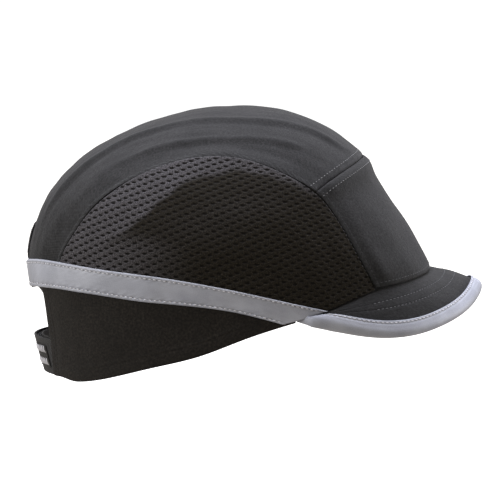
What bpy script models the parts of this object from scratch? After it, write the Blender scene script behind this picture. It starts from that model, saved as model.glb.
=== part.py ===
"""Bump cap with a short brim: a textile cover over a removable hard shell lined with foam pads.

Units are metres and angles are degrees. +X is the wearer's front, +Y the wearer's left, +Z up.
The origin is the middle of the head opening at headband level, where the head holds the cap.
An azimuth is measured from the front: 0 is the front centre, 180 the rear centre.
"""

import math
from functools import lru_cache

import bmesh
import bpy
import numpy as np
from mathutils import Matrix, Vector

COLLECTION = "bump_cap"

# ---- Driving dimensions ----
CROWN_CENTRE = Vector((0.0, 0.0, 0.030))  # every radius of the crown is measured from here
CROWN_TOP = 0.120
# Outer surface of the cover as (reach from the centre line, height), from low to high.
REAR_PROFILE = [(0.097, -0.062), (0.104, -0.020), (0.109, 0.016), (0.1112, 0.034),
                (0.1068, 0.057), (0.0894, 0.083), (0.0515, 0.1082), (0.0, CROWN_TOP)]
FRONT_PROFILE = [(0.113, -0.040), (0.1135, 0.012), (0.1118, 0.030), (0.0966, 0.0575),
                 (0.078, 0.0875), (0.0593, 0.1058), (0.030, 0.1178), (0.0, CROWN_TOP)]
SIDE_PROFILE = [(0.082, -0.060), (0.0865, -0.010), (0.0885, 0.028), (0.0835, 0.066),
                (0.065, 0.095), (0.034, 0.114), (0.0, CROWN_TOP)]
SQUARENESS = 0.35  # how much the plan is squarer than an ellipse at rim level

# The arch seam over each side as (x, z), from rear to front; it lies on the crown.
ARCH_SEAM = [(-0.0925, 0.0285), (-0.0909, 0.0391), (-0.0834, 0.0542), (-0.0729, 0.0681),
             (-0.0521, 0.0841), (-0.0226, 0.0951), (0.0056, 0.0957), (0.0303, 0.0877),
             (0.0522, 0.0725), (0.0627, 0.0572), (0.0798, 0.0255)]
ARCH_AT_FRONT_SEAM = 0.0473  # x where the front seam meets the arch seam
# Where the panels end on the centre line, as angles about the crown's centre from +X.
FRONT_HEM_ANGLE = 0.0
FRONT_SEAM_ANGLE = 39.8
REAR_EDGE_ANGLE = 185.5

# Edges that run round the crown, as (azimuth, height), the same on both sides.
HEM = [(0, 0.0300), (30.9, 0.0276), (40.8, 0.0242), (56.4, 0.0145), (70.6, 0.0072),
       (84.3, 0.0001), (99.4, -0.0087), (116.8, -0.0159), (140.8, -0.0256), (159.5, -0.0272)]
SIDE_SEAM = [(63.6, 0.0108), (79.4, 0.0175), (99.1, 0.0234), (115.8, 0.0265), (133.8, 0.0293),
             (144.0, 0.0298), (150.0, 0.0275), (158.0, 0.0225)]
TAPE_TOP_EDGE = [(56.4, 0.0144), (79.4, 0.0234), (99.1, 0.0296), (115.8, 0.0336),
                 (133.8, 0.0365), (151.5, 0.0387), (180, 0.0333)]
TAPE_LOW_EDGE = [(56.4, 0.0000), (70.9, 0.0077), (79.3, 0.0115), (99.2, 0.0172),
                 (116.0, 0.0194), (147.5, 0.0238), (180, 0.0193)]
OPENING_AZIMUTH = 158.0  # each side of the rear opening
MESH_FRONT_AZIMUTH = 40.8
LOWER_PANEL_FRONT_AZIMUTH = 66.5

# Layers, from the outside in.
FABRIC = 0.0012
MESH_FABRIC = 0.0018
TAPE = 0.0006
SEAM_TAPE = 0.0006
SWEATBAND = 0.0018
SHELL = 0.0020
FOAM = 0.0048
GAP = 0.0004  # between two pieces that lie on or beside each other
FOAM_GAP = 0.0010  # between the shell and the foam, whose facets don't match

SEAM_TAPE_WIDTH = 0.009
SEAM_TAPE_FRONT_END = 0.0625  # x where the arch seam's tape stops
OPENING_BINDING_WIDTH = 0.007
PATCH_AZIMUTH = 7.0  # half the width of the rear patch
PATCH_HEIGHTS = (0.0362, 0.0545)
SWEATBAND_HEIGHT = 0.026
SWEATBAND_END = 80.0

# The shell's outer surface lies this far inside the cover's, at its rim and at its top.
INSET_AT_RIM = 0.0074
INSET_AT_TOP = 0.0034
SHELL_RIM = [(0, 0.0400), (40, 0.0360), (70, 0.0300), (90, 0.0280), (130, 0.0300), (180, 0.0320)]
VENT_WIDTH = 0.0080
VENT_LENGTH = 0.0240
VENT_AZIMUTHS = (66, 82, 98, 114)
VENT_ELEVATION = 27.0

# Brim: the outside of its binding on the right, from the hem round to the tip.
BRIM_EDGE = [(0.0455, -0.0868, 0.0066), (0.0560, -0.0860, 0.0050), (0.0700, -0.0836, 0.0020),
             (0.0868, -0.0774, -0.0004), (0.1075, -0.0642, 0.0008), (0.1187, -0.0538, 0.0038),
             (0.1299, -0.0390, 0.0084), (0.1366, -0.0260, 0.0128), (0.1412, -0.0110, 0.0174),
             (0.1423, 0.0, 0.0186)]
BRIM_END_AZIMUTH = 61.5
BRIM_DROP = 0.0028  # from the hem down to the middle of the brim's root
BRIM_ARCH = 0.0020  # rise above the straight line from root to edge
BRIM_BOARD = 0.0012
BRIM_FABRIC = 0.0007
BRIM_GAP = 0.0005  # between the brim's layers, which twist towards its ends
BRIM_LAYERS_END = 0.0024  # from the outside of the binding to the edge of the layers in it
BINDING_WIDTH = 0.0072
BINDING = 0.0006
UNDER_SLACK = 0.0004  # more room between the binding and the under cover
BRIM_COLUMNS = 44  # the same for each layer, so that their facets lie alongside

# Strap: a cone about an upright axis, so the outer half slides round over the inner one.
STRAP_AXIS_X = -0.0482
STRAP_RADIUS = 0.0579  # outer face of the outer half, at the middle of its height
STRAP_MIDDLE = -0.0172
STRAP_HEIGHT = 0.0205
STRAP_LEAN = 0.27  # growth of the radius with height
WEBBING = 0.0014
HOOK_AND_LOOP = 0.0009
LABEL = 0.0004
STRAP_GAP = 0.0003
STRAP_END = 53.0  # hidden end of each half, as an angle about the strap's axis from -X
STRAP_FOLD = 6.3  # where the pull tab starts
TAB_END = 27.0
LOOP_END = 30.0
INNER_END = -28.0


# ---- Curves and the crown's surface ----

def spline(knots, values):
    """A natural cubic through values (numbers or tuples) at rising knots, as a function."""
    knots = np.asarray(knots, float)
    values = np.asarray(values, float).reshape(len(knots), -1)
    steps = np.diff(knots)
    slopes = np.diff(values, axis=0) / steps[:, None]
    count = len(knots)
    matrix = np.eye(count)
    right = np.zeros_like(values)
    for i in range(1, count - 1):
        matrix[i, i - 1:i + 2] = steps[i - 1], 2 * (steps[i - 1] + steps[i]), steps[i]
        right[i] = 6 * (slopes[i] - slopes[i - 1])
    bends = np.linalg.solve(matrix, right)

    def at(t):
        i = int(np.clip(np.searchsorted(knots, t) - 1, 0, count - 2))
        step = steps[i]
        before = t - knots[i]
        after = knots[i + 1] - t
        curve = (bends[i] * after ** 3 + bends[i + 1] * before ** 3) / (6 * step)
        start = (values[i] / step - bends[i] * step / 6) * after
        end = (values[i + 1] / step - bends[i + 1] * step / 6) * before
        return curve + start + end

    return at


def chord_spline(points):
    """A smooth curve through points, with t from 0 at the first to 1 at the last."""
    points = np.asarray(points, float)
    lengths = np.linalg.norm(np.diff(points, axis=0), axis=1)
    return spline(np.concatenate([[0], np.cumsum(lengths)]) / lengths.sum(), points)


def polar_table(profile):
    """The crown's radius over the angle above the level of its centre."""
    offsets = [(reach, height - CROWN_CENTRE.z) for reach, height in profile]
    angles = [math.atan2(up, out) for out, up in offsets]
    radius = spline(angles, [math.hypot(*offset) for offset in offsets])
    table = np.linspace(angles[0], angles[-1], 400)
    return table, np.array([radius(angle)[0] for angle in table])


REAR_TABLE = polar_table(REAR_PROFILE)
FRONT_TABLE = polar_table(FRONT_PROFILE)
SIDE_TABLE = polar_table(SIDE_PROFILE)


def crown_radius(direction):
    """Distance from the crown's centre to the cover's outer surface along a unit direction."""
    flat = max(math.hypot(direction.x, direction.y), 1e-6)
    angle = math.atan2(direction.z, flat)
    along = np.interp(angle, *(FRONT_TABLE if direction.x >= 0 else REAR_TABLE))
    across = np.interp(angle, *SIDE_TABLE)
    power = 2 + SQUARENESS * flat ** 2
    forward = max(abs(direction.x), 1e-6) / flat
    total = (forward / along) ** power + (abs(direction.y) / flat / across) ** power
    return total ** (-1 / power)


def crown_normal(direction):
    side = direction.orthogonal().normalized()
    step = 0.01
    spans = []
    for tangent in (side, direction.cross(side)):
        ahead = (direction + tangent * step).normalized()
        behind = (direction - tangent * step).normalized()
        spans.append(ahead * crown_radius(ahead) - behind * crown_radius(behind))
    return spans[0].cross(spans[1]).normalized()


def crown_point(direction, depth=0.0):
    """The crown's point along a direction, moved in by depth along the surface normal."""
    direction = direction.normalized()
    point = CROWN_CENTRE + direction * crown_radius(direction)
    return point - crown_normal(direction) * depth if depth else point


def polar(azimuth, elevation):
    around = math.radians(azimuth)
    rise = math.radians(elevation)
    level = math.cos(rise)
    return Vector((level * math.cos(around), level * math.sin(around), math.sin(rise)))


@lru_cache(maxsize=None)
def elevation_at(azimuth, height):
    """The elevation at which the crown has this height at this azimuth."""
    low = -60.0
    high = 89.0
    for _ in range(32):
        middle = (low + high) / 2
        if crown_point(polar(azimuth, middle)).z < height:
            low = middle
        else:
            high = middle
    return low


def ring_point(azimuth, height, depth=0.0):
    """The point at an azimuth (negative on the right) where the crown has this height."""
    return crown_point(polar(azimuth, elevation_at(abs(azimuth), height)), depth)


def heights(edge):
    curve = spline(*zip(*edge))
    return lambda azimuth: float(curve(abs(azimuth))[0])


hem = heights(HEM)
side_seam = heights(SIDE_SEAM)
tape_top = heights(TAPE_TOP_EDGE)
tape_low = heights(TAPE_LOW_EDGE)
shell_rim = heights(SHELL_RIM)


def on_right(x, z):
    """The crown's point with this x and z on the right side."""
    low = 0.0
    high = 0.150
    for _ in range(32):
        middle = (low + high) / 2
        offset = Vector((x, -middle, z - CROWN_CENTRE.z))
        if offset.length < crown_radius(offset.normalized()):
            low = middle
        else:
            high = middle
    return Vector((x, -low, z))


def arch_curve(start=0.0, end=1.0):
    """The right arch seam, or the part of it between two shares of its length."""
    flat = chord_spline(ARCH_SEAM)

    @lru_cache(maxsize=None)
    def at(t):
        x, z = flat(start + (end - start) * t)
        return on_right(float(x), float(z))

    return at


def share_at(x):
    """How far along the arch seam it passes this x."""
    flat = chord_spline(ARCH_SEAM)
    shares = np.linspace(0, 1, 401)
    return float(np.interp(x, [flat(t)[0] for t in shares], shares))


FRONT_SEAM_SHARE = share_at(ARCH_AT_FRONT_SEAM)
whole_arch = arch_curve()
rear_arch = arch_curve(end=FRONT_SEAM_SHARE)
front_arch = arch_curve(start=FRONT_SEAM_SHARE)


def over_crown(side_point, middle_angle, u):
    """Direction on the arc from a point on the right (u -1) over the centre line (0) to the left (1)."""
    side = side_point - CROWN_CENTRE
    flat = Vector((side.x, 0, side.z))
    middle = Vector((math.cos(math.radians(middle_angle)), 0, math.sin(math.radians(middle_angle))))
    swing = u * math.atan2(-side.y, flat.length)
    return middle.slerp(flat.normalized(), u * u) * math.cos(swing) + Vector((0, math.sin(swing), 0))


def mix(start, end, share):
    return start + (end - start) * share


# ---- Making pieces ----

def material(name, colour, roughness=0.9, metallic=0.0):
    made = bpy.data.materials.new(name)
    made.use_nodes = True
    shader = made.node_tree.nodes["Principled BSDF"]
    shader.inputs["Base Color"].default_value = (*colour, 1)
    shader.inputs["Roughness"].default_value = roughness
    shader.inputs["Metallic"].default_value = metallic
    made.diffuse_color = (*colour, 1)
    return made


def add_piece(name, work, look, body=None):
    """Turns a bmesh in world coordinates into a named object, carried by the body's empty."""
    mesh = bpy.data.meshes.new(name)
    work.to_mesh(mesh)
    work.free()
    mesh.shade_smooth()
    mesh.set_sharp_from_angle(angle=math.radians(40))
    mesh.materials.append(look)
    obj = bpy.data.objects.new(name, mesh)
    bpy.data.collections[COLLECTION].objects.link(obj)
    if body:
        mesh.transform(body.matrix_world.inverted())
        obj.parent = body
    return obj


def grid(place, columns, rows):
    """A bmesh surface with its points at place(u, v), u and v from 0 to 1."""
    work = bmesh.new()
    bmesh.ops.create_grid(work, x_segments=columns, y_segments=rows, size=0.5)
    for vert in work.verts:
        vert.co = place(round(vert.co.x + 0.5, 6), round(vert.co.y + 0.5, 6))
    return work


def face_away(work, inside):
    """Turns an open surface so that its faces look away from a point."""
    facing = sum((face.calc_center_median() - inside).dot(face.normal) for face in work.faces)
    if facing < 0:
        bmesh.ops.reverse_faces(work, faces=work.faces)


def sheet(name, place, columns, rows, thickness, look, body=None, inside=CROWN_CENTRE, offset=-1):
    """A layer of even thickness whose outer surface, or middle with offset 0, is place(u, v)."""
    work = grid(place, columns, rows)
    bmesh.ops.triangulate(work, faces=work.faces, quad_method="FIXED")
    work.normal_update()
    face_away(work, inside)
    obj = add_piece(name, work, look, body)
    layer = obj.modifiers.new("thickness", "SOLIDIFY")
    layer.thickness = thickness
    layer.offset = offset
    layer.use_even_offset = True
    return obj


def sweep(name, place, columns, rows, look):
    """A bar: v runs once round its closed outline, u along it, and both ends are closed."""
    work = grid(place, columns, rows)
    bmesh.ops.remove_doubles(work, verts=work.verts, dist=1e-6)
    bmesh.ops.holes_fill(work, edges=[edge for edge in work.edges if edge.is_boundary])
    bmesh.ops.recalc_face_normals(work, faces=work.faces)
    return add_piece(name, work, look)


def empty_at(name, location, parent=None):
    obj = bpy.data.objects.new(name, None)
    bpy.data.collections[COLLECTION].objects.link(obj)
    obj.matrix_world = Matrix.Translation(location)
    if parent:
        obj.parent = parent
        obj.matrix_parent_inverse = parent.matrix_world.inverted()
    bpy.context.view_layer.update()
    return obj


# ---- Cover: crown panels ----

def trimmed(share, length):
    """Moves a share in from both ends of a length by half the gap between two pieces."""
    margin = GAP / 2 / length
    return margin + share * (1 - 2 * margin)


def make_top_panel(look):
    def place(u, v):
        side = rear_arch(trimmed(v, 0.2))
        angle = mix(REAR_EDGE_ANGLE, FRONT_SEAM_ANGLE, trimmed(v, 0.25))
        return crown_point(over_crown(side, angle, 2 * trimmed(u, 0.2) - 1))
    sheet("top_panel", place, 18, 24, FABRIC, look)


def make_front_panel(look):
    def place(u, v):
        side = front_arch(trimmed(v, 0.07))
        angle = mix(FRONT_SEAM_ANGLE, FRONT_HEM_ANGLE, trimmed(v, 0.07))
        return crown_point(over_crown(side, angle, 2 * trimmed(u, 0.2) - 1))
    sheet("front_panel", place, 18, 8, FABRIC, look)


def mesh_low_edge(azimuth):
    return side_seam(azimuth) if azimuth > SIDE_SEAM[0][0] else hem(azimuth)


def make_mesh_panel(side_name, mirror, look):
    corner = whole_arch(0.0)
    rear_azimuth = math.degrees(math.atan2(-corner.y, corner.x))

    def place(u, v):
        along = mix(0.012, 0.988, u)
        azimuth = mix(rear_azimuth, MESH_FRONT_AZIMUTH, along)
        low = ring_point(-azimuth, mesh_low_edge(azimuth)) - CROWN_CENTRE
        high = whole_arch(along) - CROWN_CENTRE
        point = crown_point(low.lerp(high, trimmed(v, (high - low).length)))
        return Vector((point.x, point.y * mirror, point.z))
    sheet("mesh_panel_" + side_name, place, 24, 8, MESH_FABRIC, look)


def make_lower_panel(side_name, mirror, look):
    def place(u, v):
        azimuth = mix(OPENING_AZIMUTH, LOWER_PANEL_FRONT_AZIMUTH, u)
        low = hem(azimuth)
        high = side_seam(azimuth)
        point = ring_point(-azimuth, mix(low, high, trimmed(v, high - low)))
        return Vector((point.x, point.y * mirror, point.z))
    sheet("lower_panel_" + side_name, place, 16, 5, FABRIC, look)


def make_reflective_tape(look):
    outer = -(GAP + TAPE)

    def place(u, v):
        end = mix(TAPE_LOW_EDGE[1][0], TAPE_TOP_EDGE[0][0], v)
        azimuth = mix(end, 360 - end, u)
        around = azimuth if azimuth < 180 else azimuth - 360
        height = mix(tape_low(around), tape_top(around), v)
        return ring_point(-around, height, outer)
    sheet("reflective_tape", place, 56, 2, TAPE, look)


def make_rear_patch(look):
    def place(u, v):
        azimuth = 180 + mix(-PATCH_AZIMUTH, PATCH_AZIMUTH, u)
        if azimuth >= 180:
            azimuth -= 360
        return ring_point(azimuth, mix(*PATCH_HEIGHTS, v), -(GAP + TAPE))
    sheet("rear_patch", place, 4, 3, TAPE, look)


# ---- Cover: inside ----

def make_arch_seam_tape(side_name, mirror, look):
    """A ribbon inside, along the arch seam and centred on it, that stops above the sweatband."""
    end = share_at(SEAM_TAPE_FRONT_END)

    def place(u, v):
        share = mix(0.07, end, u)
        before = whole_arch(share - 0.01)
        after = whole_arch(share + 0.01)
        seam = whole_arch(share)
        outward = crown_normal((seam - CROWN_CENTRE).normalized())
        across = (after - before).cross(outward).normalized()
        offset = across * mix(-SEAM_TAPE_WIDTH / 2, SEAM_TAPE_WIDTH / 2, v)
        point = crown_point(seam + offset - CROWN_CENTRE, MESH_FABRIC + GAP)
        return Vector((point.x, point.y * mirror, point.z))
    sheet("arch_seam_tape_" + side_name, place, 20, 1, SEAM_TAPE, look)


def make_front_seam_tape(look):
    side = rear_arch(1.0)
    half_angle = math.degrees(SEAM_TAPE_WIDTH / 2 / 0.1)

    def place(u, v):
        angle = FRONT_SEAM_ANGLE + mix(-half_angle, half_angle, v)
        direction = over_crown(side, angle, mix(-0.84, 0.84, u))
        return crown_point(direction, FABRIC + GAP)
    sheet("front_seam_tape", place, 12, 1, SEAM_TAPE, look)


def make_opening_binding(look):
    """Inside the edge of the rear opening: up one side, across under the tape and down the other."""
    edge = [(157.4, -0.0262), (157.2, -0.0050), (157.2, 0.0090), (159.5, 0.0185), (167.0, 0.0222),
            (180, 0.0205)]
    away = [(153.4, -0.0262), (153.2, -0.0050), (153.2, 0.0120), (156.5, 0.0245), (166.0, 0.0290),
            (180, 0.0205 + OPENING_BINDING_WIDTH)]
    curves = []
    for side in (edge, away):
        whole = side + [(360 - azimuth, height) for azimuth, height in reversed(side[:-1])]
        curves.append(chord_spline([(math.radians(azimuth) * 0.1, height) for azimuth, height in whole]))

    def place(u, v):
        along, height = mix(curves[0](u), curves[1](u), v)
        azimuth = math.degrees(along / 0.1)
        return ring_point(azimuth if azimuth < 180 else azimuth - 360, float(height), FABRIC + GAP)
    sheet("opening_binding", place, 28, 1, SEAM_TAPE, look)


def make_sweatband(look):
    def place(u, v):
        azimuth = mix(-SWEATBAND_END, SWEATBAND_END, u)
        height = hem(azimuth) + mix(0.0012, SWEATBAND_HEIGHT, v)
        return ring_point(azimuth, height, MESH_FABRIC + GAP)
    sheet("sweatband", place, 28, 3, SWEATBAND, look)


# ---- Brim ----

brim_outside = chord_spline(BRIM_EDGE + [(x, -y, z) for x, y, z in reversed(BRIM_EDGE[:-1])])


@lru_cache(maxsize=None)
def brim_ends(s):
    """The brim's root and the outside of its binding, from its right end (s 0) to its left (1)."""
    azimuth = mix(-BRIM_END_AZIMUTH, BRIM_END_AZIMUTH, s)
    root = ring_point(azimuth, hem(azimuth) - BRIM_DROP)
    return root, Vector(brim_outside(s))


def brim_middle(s, inward):
    """The middle surface of the brim, at a distance inward from the outside of the binding."""
    root, edge = brim_ends(s)
    width = (edge - root).length
    bound = min(BINDING_WIDTH, width - 0.0006) / width
    if inward <= BINDING_WIDTH:
        share = 1 - bound * inward / BINDING_WIDTH
    else:
        share = (1 - bound) * (1 - inward) / (1 - BINDING_WIDTH)
    return root.lerp(edge, share) + Vector((0, 0, BRIM_ARCH * 4 * share * (1 - share)))


def brim_point(s, inward, lift):
    """The brim's surface, with inward in metres up to the binding's width, then 1 at the root."""
    step = 0.004
    along = brim_middle(min(s + step, 1.0), inward) - brim_middle(max(s - step, 0.0), inward)
    root, edge = brim_ends(s)
    upward = (edge - root).cross(along).normalized()
    return brim_middle(s, inward) + upward * lift


def make_brim(fabric, board, binding):
    below = Vector((0.05, 0, -1.0))
    board_top = BRIM_BOARD / 2
    cover_top = board_top + BRIM_GAP + BRIM_FABRIC
    binding_top = cover_top + BRIM_GAP + BINDING
    cover_middle = cover_top - BRIM_FABRIC / 2
    layers = [("brim_board", 0.0, BRIM_BOARD, board),
              ("brim_top_cover", cover_middle, BRIM_FABRIC, fabric),
              ("brim_under_cover", -cover_middle, BRIM_FABRIC, fabric)]
    stops = [BRIM_LAYERS_END, BINDING_WIDTH, 0.34, 0.67, 1.0]
    for name, lift, thickness, look in layers:
        def place(u, v):
            return brim_point(mix(0.01, 0.99, u), stops[round(v * (len(stops) - 1))], lift)
        sheet(name, place, BRIM_COLUMNS, len(stops) - 1, thickness, look, inside=below, offset=0)

    inner = binding_top - BINDING
    under = inner + UNDER_SLACK
    under_top = binding_top + UNDER_SLACK
    outline = [(BINDING_WIDTH, binding_top), (0.0020, binding_top), (0.0004, binding_top * 0.6),
               (0.0004, -under_top * 0.6), (0.0020, -under_top), (BINDING_WIDTH, -under_top),
               (BINDING_WIDTH, -under), (0.0023, -under), (0.0011, -under * 0.5),
               (0.0011, inner * 0.5), (0.0023, inner), (BINDING_WIDTH, inner),
               (BINDING_WIDTH, binding_top)]

    def bind(u, v):
        inward, lift = outline[round(v * (len(outline) - 1))]
        return brim_point(mix(0.01, 0.99, u), inward, lift)
    sweep("brim_binding", bind, BRIM_COLUMNS, len(outline) - 1, binding)


# ---- Rear strap ----

def strap_point(angle, height, depth):
    """A point on the strap's cone, depth in from the outer face of the outer half."""
    radius = STRAP_RADIUS + (height - STRAP_MIDDLE) * STRAP_LEAN - depth
    turn = math.radians(angle)
    return Vector((STRAP_AXIS_X - radius * math.cos(turn), radius * math.sin(turn), height))


def strap_piece(name, start, end, depth, thickness, look, body=None, margin=0.0):
    low = STRAP_MIDDLE - STRAP_HEIGHT / 2 + margin
    high = STRAP_MIDDLE + STRAP_HEIGHT / 2 - margin
    columns = max(3, round(abs(end - start) / 5))

    def place(u, v):
        return strap_point(mix(start, end, u), mix(low, high, v), depth)
    sheet(name, place, columns, 1, thickness, look, body, Vector((STRAP_AXIS_X, 0, STRAP_MIDDLE)))


def make_strap(webbing, hook, loop, label, slide, tab):
    hook_depth = WEBBING + STRAP_GAP
    loop_depth = hook_depth + HOOK_AND_LOOP + STRAP_GAP
    inner_depth = loop_depth + HOOK_AND_LOOP + STRAP_GAP
    strap_piece("strap_inner_half", INNER_END, STRAP_END, inner_depth, WEBBING, webbing)
    strap_piece("loop_patch", INNER_END + 1, LOOP_END, loop_depth, HOOK_AND_LOOP, loop, margin=0.001)
    strap_piece("strap_outer_half", -STRAP_END, STRAP_FOLD - 0.2, 0.0, WEBBING, webbing, slide)
    strap_piece("hook_patch", -12.0, STRAP_FOLD - 0.6, hook_depth, HOOK_AND_LOOP, hook, slide, 0.001)
    strap_piece("strap_label", -29.0, -13.0, -(STRAP_GAP + LABEL), LABEL, label, slide, 0.004)
    strap_piece("strap_tab", STRAP_FOLD + 0.2, TAB_END, 0.0, WEBBING, webbing, tab)
    strap_piece("tab_hook_patch", STRAP_FOLD + 0.8, TAB_END - 1.5, hook_depth, HOOK_AND_LOOP,
                hook, tab, 0.001)


# ---- Insert: hard shell and foam ----

def inset_at(elevation):
    """How far the shell's outer surface lies inside the cover's at this elevation."""
    rise = min(max(elevation / 60.0, 0.0), 1.0)
    return mix(INSET_AT_RIM, INSET_AT_TOP, rise * rise * (3 - 2 * rise))


def insert_point(azimuth, elevation, depth=0.0):
    return crown_point(polar(azimuth, elevation), inset_at(elevation) + depth)


def make_shell(look, cutters, body):
    """The upper half of a sphere's grid, spread over the crown from the shell's rim to its top."""
    work = bmesh.new()
    bmesh.ops.create_uvsphere(work, u_segments=44, v_segments=22, radius=1.0)
    bmesh.ops.delete(work, geom=[vert for vert in work.verts if vert.co.z < -1e-4], context="VERTS")
    for vert in work.verts:
        azimuth = math.degrees(math.atan2(vert.co.y, vert.co.x))
        share = math.degrees(math.asin(min(1.0, max(0.0, vert.co.z)))) / 90
        rim = elevation_at(round(abs(azimuth), 4), shell_rim(azimuth))
        vert.co = insert_point(azimuth, mix(rim, 90.0, share))
    work.normal_update()
    face_away(work, CROWN_CENTRE)
    obj = add_piece("hard_shell", work, look, body)
    layer = obj.modifiers.new("thickness", "SOLIDIFY")
    layer.thickness = SHELL
    layer.offset = -1
    layer.use_even_offset = True
    vents = obj.modifiers.new("vents", "BOOLEAN")
    vents.operation = "DIFFERENCE"
    vents.operand_type = "COLLECTION"
    vents.collection = cutters


def make_vent_cutter(name, azimuth, cutters):
    """A long block with a round end at top and bottom, standing square through the shell."""
    work = bmesh.new()
    bmesh.ops.create_cone(work, cap_ends=True, segments=12, radius1=VENT_WIDTH / 2,
                          radius2=VENT_WIDTH / 2, depth=0.016)
    stretch = (VENT_LENGTH - VENT_WIDTH) / 2
    for vert in work.verts:
        vert.co.y += math.copysign(stretch, vert.co.y + 1e-5)
    mesh = bpy.data.meshes.new(name)
    work.to_mesh(mesh)
    work.free()
    obj = bpy.data.objects.new(name, mesh)
    cutters.objects.link(obj)
    direction = polar(azimuth, VENT_ELEVATION)
    outward = crown_normal(direction)
    upward = (Vector((0, 0, 1)) - outward * outward.z).normalized()
    turn = Matrix((upward.cross(outward), upward, outward)).transposed().to_4x4()
    obj.matrix_world = Matrix.Translation(insert_point(azimuth, VENT_ELEVATION)) @ turn
    obj.hide_render = True
    obj.display_type = "WIRE"


def pad(name, azimuths, low, high, look, body):
    """A foam pad between two azimuths and from elevation low to high."""
    columns = round((azimuths[1] - azimuths[0]) / 8)
    rows = round((high - low) / 5)

    def place(u, v):
        return insert_point(mix(*azimuths, u), mix(low, high, v), SHELL + FOAM_GAP)
    sheet(name, place, columns, rows, FOAM, look, body)


def make_crown_pad(look, body):
    def place(u, v):
        forward = math.radians(mix(52.0, 134.0, v))
        swing = math.radians(mix(-17.0, 17.0, u))
        direction = Vector((math.cos(forward) * math.cos(swing), math.sin(swing),
                            math.sin(forward) * math.cos(swing)))
        elevation = math.degrees(math.asin(direction.z))
        return crown_point(direction, inset_at(elevation) + SHELL + FOAM_GAP)
    sheet("crown_pad", place, 6, 11, FOAM, look, body)


def make_insert(shell_look, foam_look, cutters, body):
    for number, azimuth in enumerate(VENT_AZIMUTHS):
        make_vent_cutter(f"vent_right_{number + 1}", -azimuth, cutters)
        make_vent_cutter(f"vent_left_{number + 1}", azimuth, cutters)
    make_shell(shell_look, cutters, body)
    make_crown_pad(foam_look, body)
    pad("front_pad", (-36.0, 36.0), 9.0, 44.0, foam_look, body)
    pad("rear_pad", (144.0, 216.0), 4.0, 38.0, foam_look, body)
    pad("side_pad_right", (-132.0, -48.0), 3.0, 13.0, foam_look, body)
    pad("side_pad_left", (48.0, 132.0), 3.0, 13.0, foam_look, body)


def main():
    for obj in list(bpy.data.objects):
        bpy.data.objects.remove(obj, do_unlink=True)
    scene = bpy.context.scene.collection
    scene.children.link(bpy.data.collections.new(COLLECTION))
    cutters = bpy.data.collections.new("cutters")
    scene.children.link(cutters)
    cutters.hide_render = True

    twill = material("black_twill", (0.022, 0.021, 0.022))
    netting = material("black_netting", (0.018, 0.016, 0.015))
    reflective = material("grey_reflective", (0.30, 0.30, 0.33), 0.45)
    ribbon = material("black_ribbon", (0.025, 0.025, 0.027))
    towelling = material("black_sweatband", (0.030, 0.030, 0.032), 0.95)
    board = material("brim_board", (0.10, 0.10, 0.11), 0.5)
    webbing = material("black_webbing", (0.020, 0.020, 0.021))
    hook = material("hook_tape", (0.030, 0.030, 0.032), 0.8)
    loop = material("loop_tape", (0.026, 0.026, 0.028), 0.98)
    label = material("label_weave", (0.022, 0.022, 0.022), 0.85)
    plastic = material("shell_plastic", (0.035, 0.035, 0.038), 0.42)
    foam = material("foam", (0.045, 0.045, 0.048), 0.95)

    slide = empty_at("strap_axis", (STRAP_AXIS_X, 0, STRAP_MIDDLE))
    tab = empty_at("tab_fold", strap_point(STRAP_FOLD, STRAP_MIDDLE, 0.0), slide)
    insert = empty_at("insert_frame", CROWN_CENTRE)

    make_top_panel(twill)
    make_front_panel(twill)
    for side_name, mirror in (("right", 1), ("left", -1)):
        make_mesh_panel(side_name, mirror, netting)
        make_lower_panel(side_name, mirror, twill)
        make_arch_seam_tape(side_name, mirror, ribbon)
    make_reflective_tape(reflective)
    make_rear_patch(twill)
    make_front_seam_tape(ribbon)
    make_opening_binding(ribbon)
    make_sweatband(towelling)
    make_brim(twill, board, reflective)
    make_strap(webbing, hook, loop, label, slide, tab)
    make_insert(plastic, foam, cutters, insert)


main()
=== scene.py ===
"""Looks of the bump cap: twill and netting panels, reflective trim, brim, strap and padded shell.

Units are metres and angles are degrees. +X is the wearer's front, +Y the wearer's left, +Z up.
Edges and layers repeat the CAD model's dimensions, so each piece lies where its solid does.
"""

import math

import bmesh
import bpy
import numpy as np
from mathutils import Matrix, Vector


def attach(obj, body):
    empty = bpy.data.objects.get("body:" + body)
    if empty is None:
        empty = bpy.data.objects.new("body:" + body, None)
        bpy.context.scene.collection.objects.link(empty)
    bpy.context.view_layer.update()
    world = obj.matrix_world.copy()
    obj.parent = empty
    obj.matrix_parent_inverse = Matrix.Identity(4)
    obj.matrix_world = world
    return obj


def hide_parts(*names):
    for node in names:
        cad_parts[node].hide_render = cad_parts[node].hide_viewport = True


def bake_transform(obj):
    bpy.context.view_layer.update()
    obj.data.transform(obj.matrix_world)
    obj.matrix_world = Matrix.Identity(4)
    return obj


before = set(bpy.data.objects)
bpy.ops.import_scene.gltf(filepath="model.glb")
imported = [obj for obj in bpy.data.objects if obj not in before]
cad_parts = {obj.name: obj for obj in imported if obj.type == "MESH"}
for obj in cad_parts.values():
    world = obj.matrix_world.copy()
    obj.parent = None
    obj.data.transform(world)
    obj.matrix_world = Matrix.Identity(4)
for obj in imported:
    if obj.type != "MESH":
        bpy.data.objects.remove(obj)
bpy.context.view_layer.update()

# ---- Dimensions, as in the CAD model ----
CENTRE = np.array([0.0, 0.0, 0.030])
CROWN_TOP = 0.120
REAR_PROFILE = [(0.097, -0.062), (0.104, -0.020), (0.109, 0.016), (0.1112, 0.034),
                (0.1068, 0.057), (0.0894, 0.083), (0.0515, 0.1082), (0.0, CROWN_TOP)]
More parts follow.
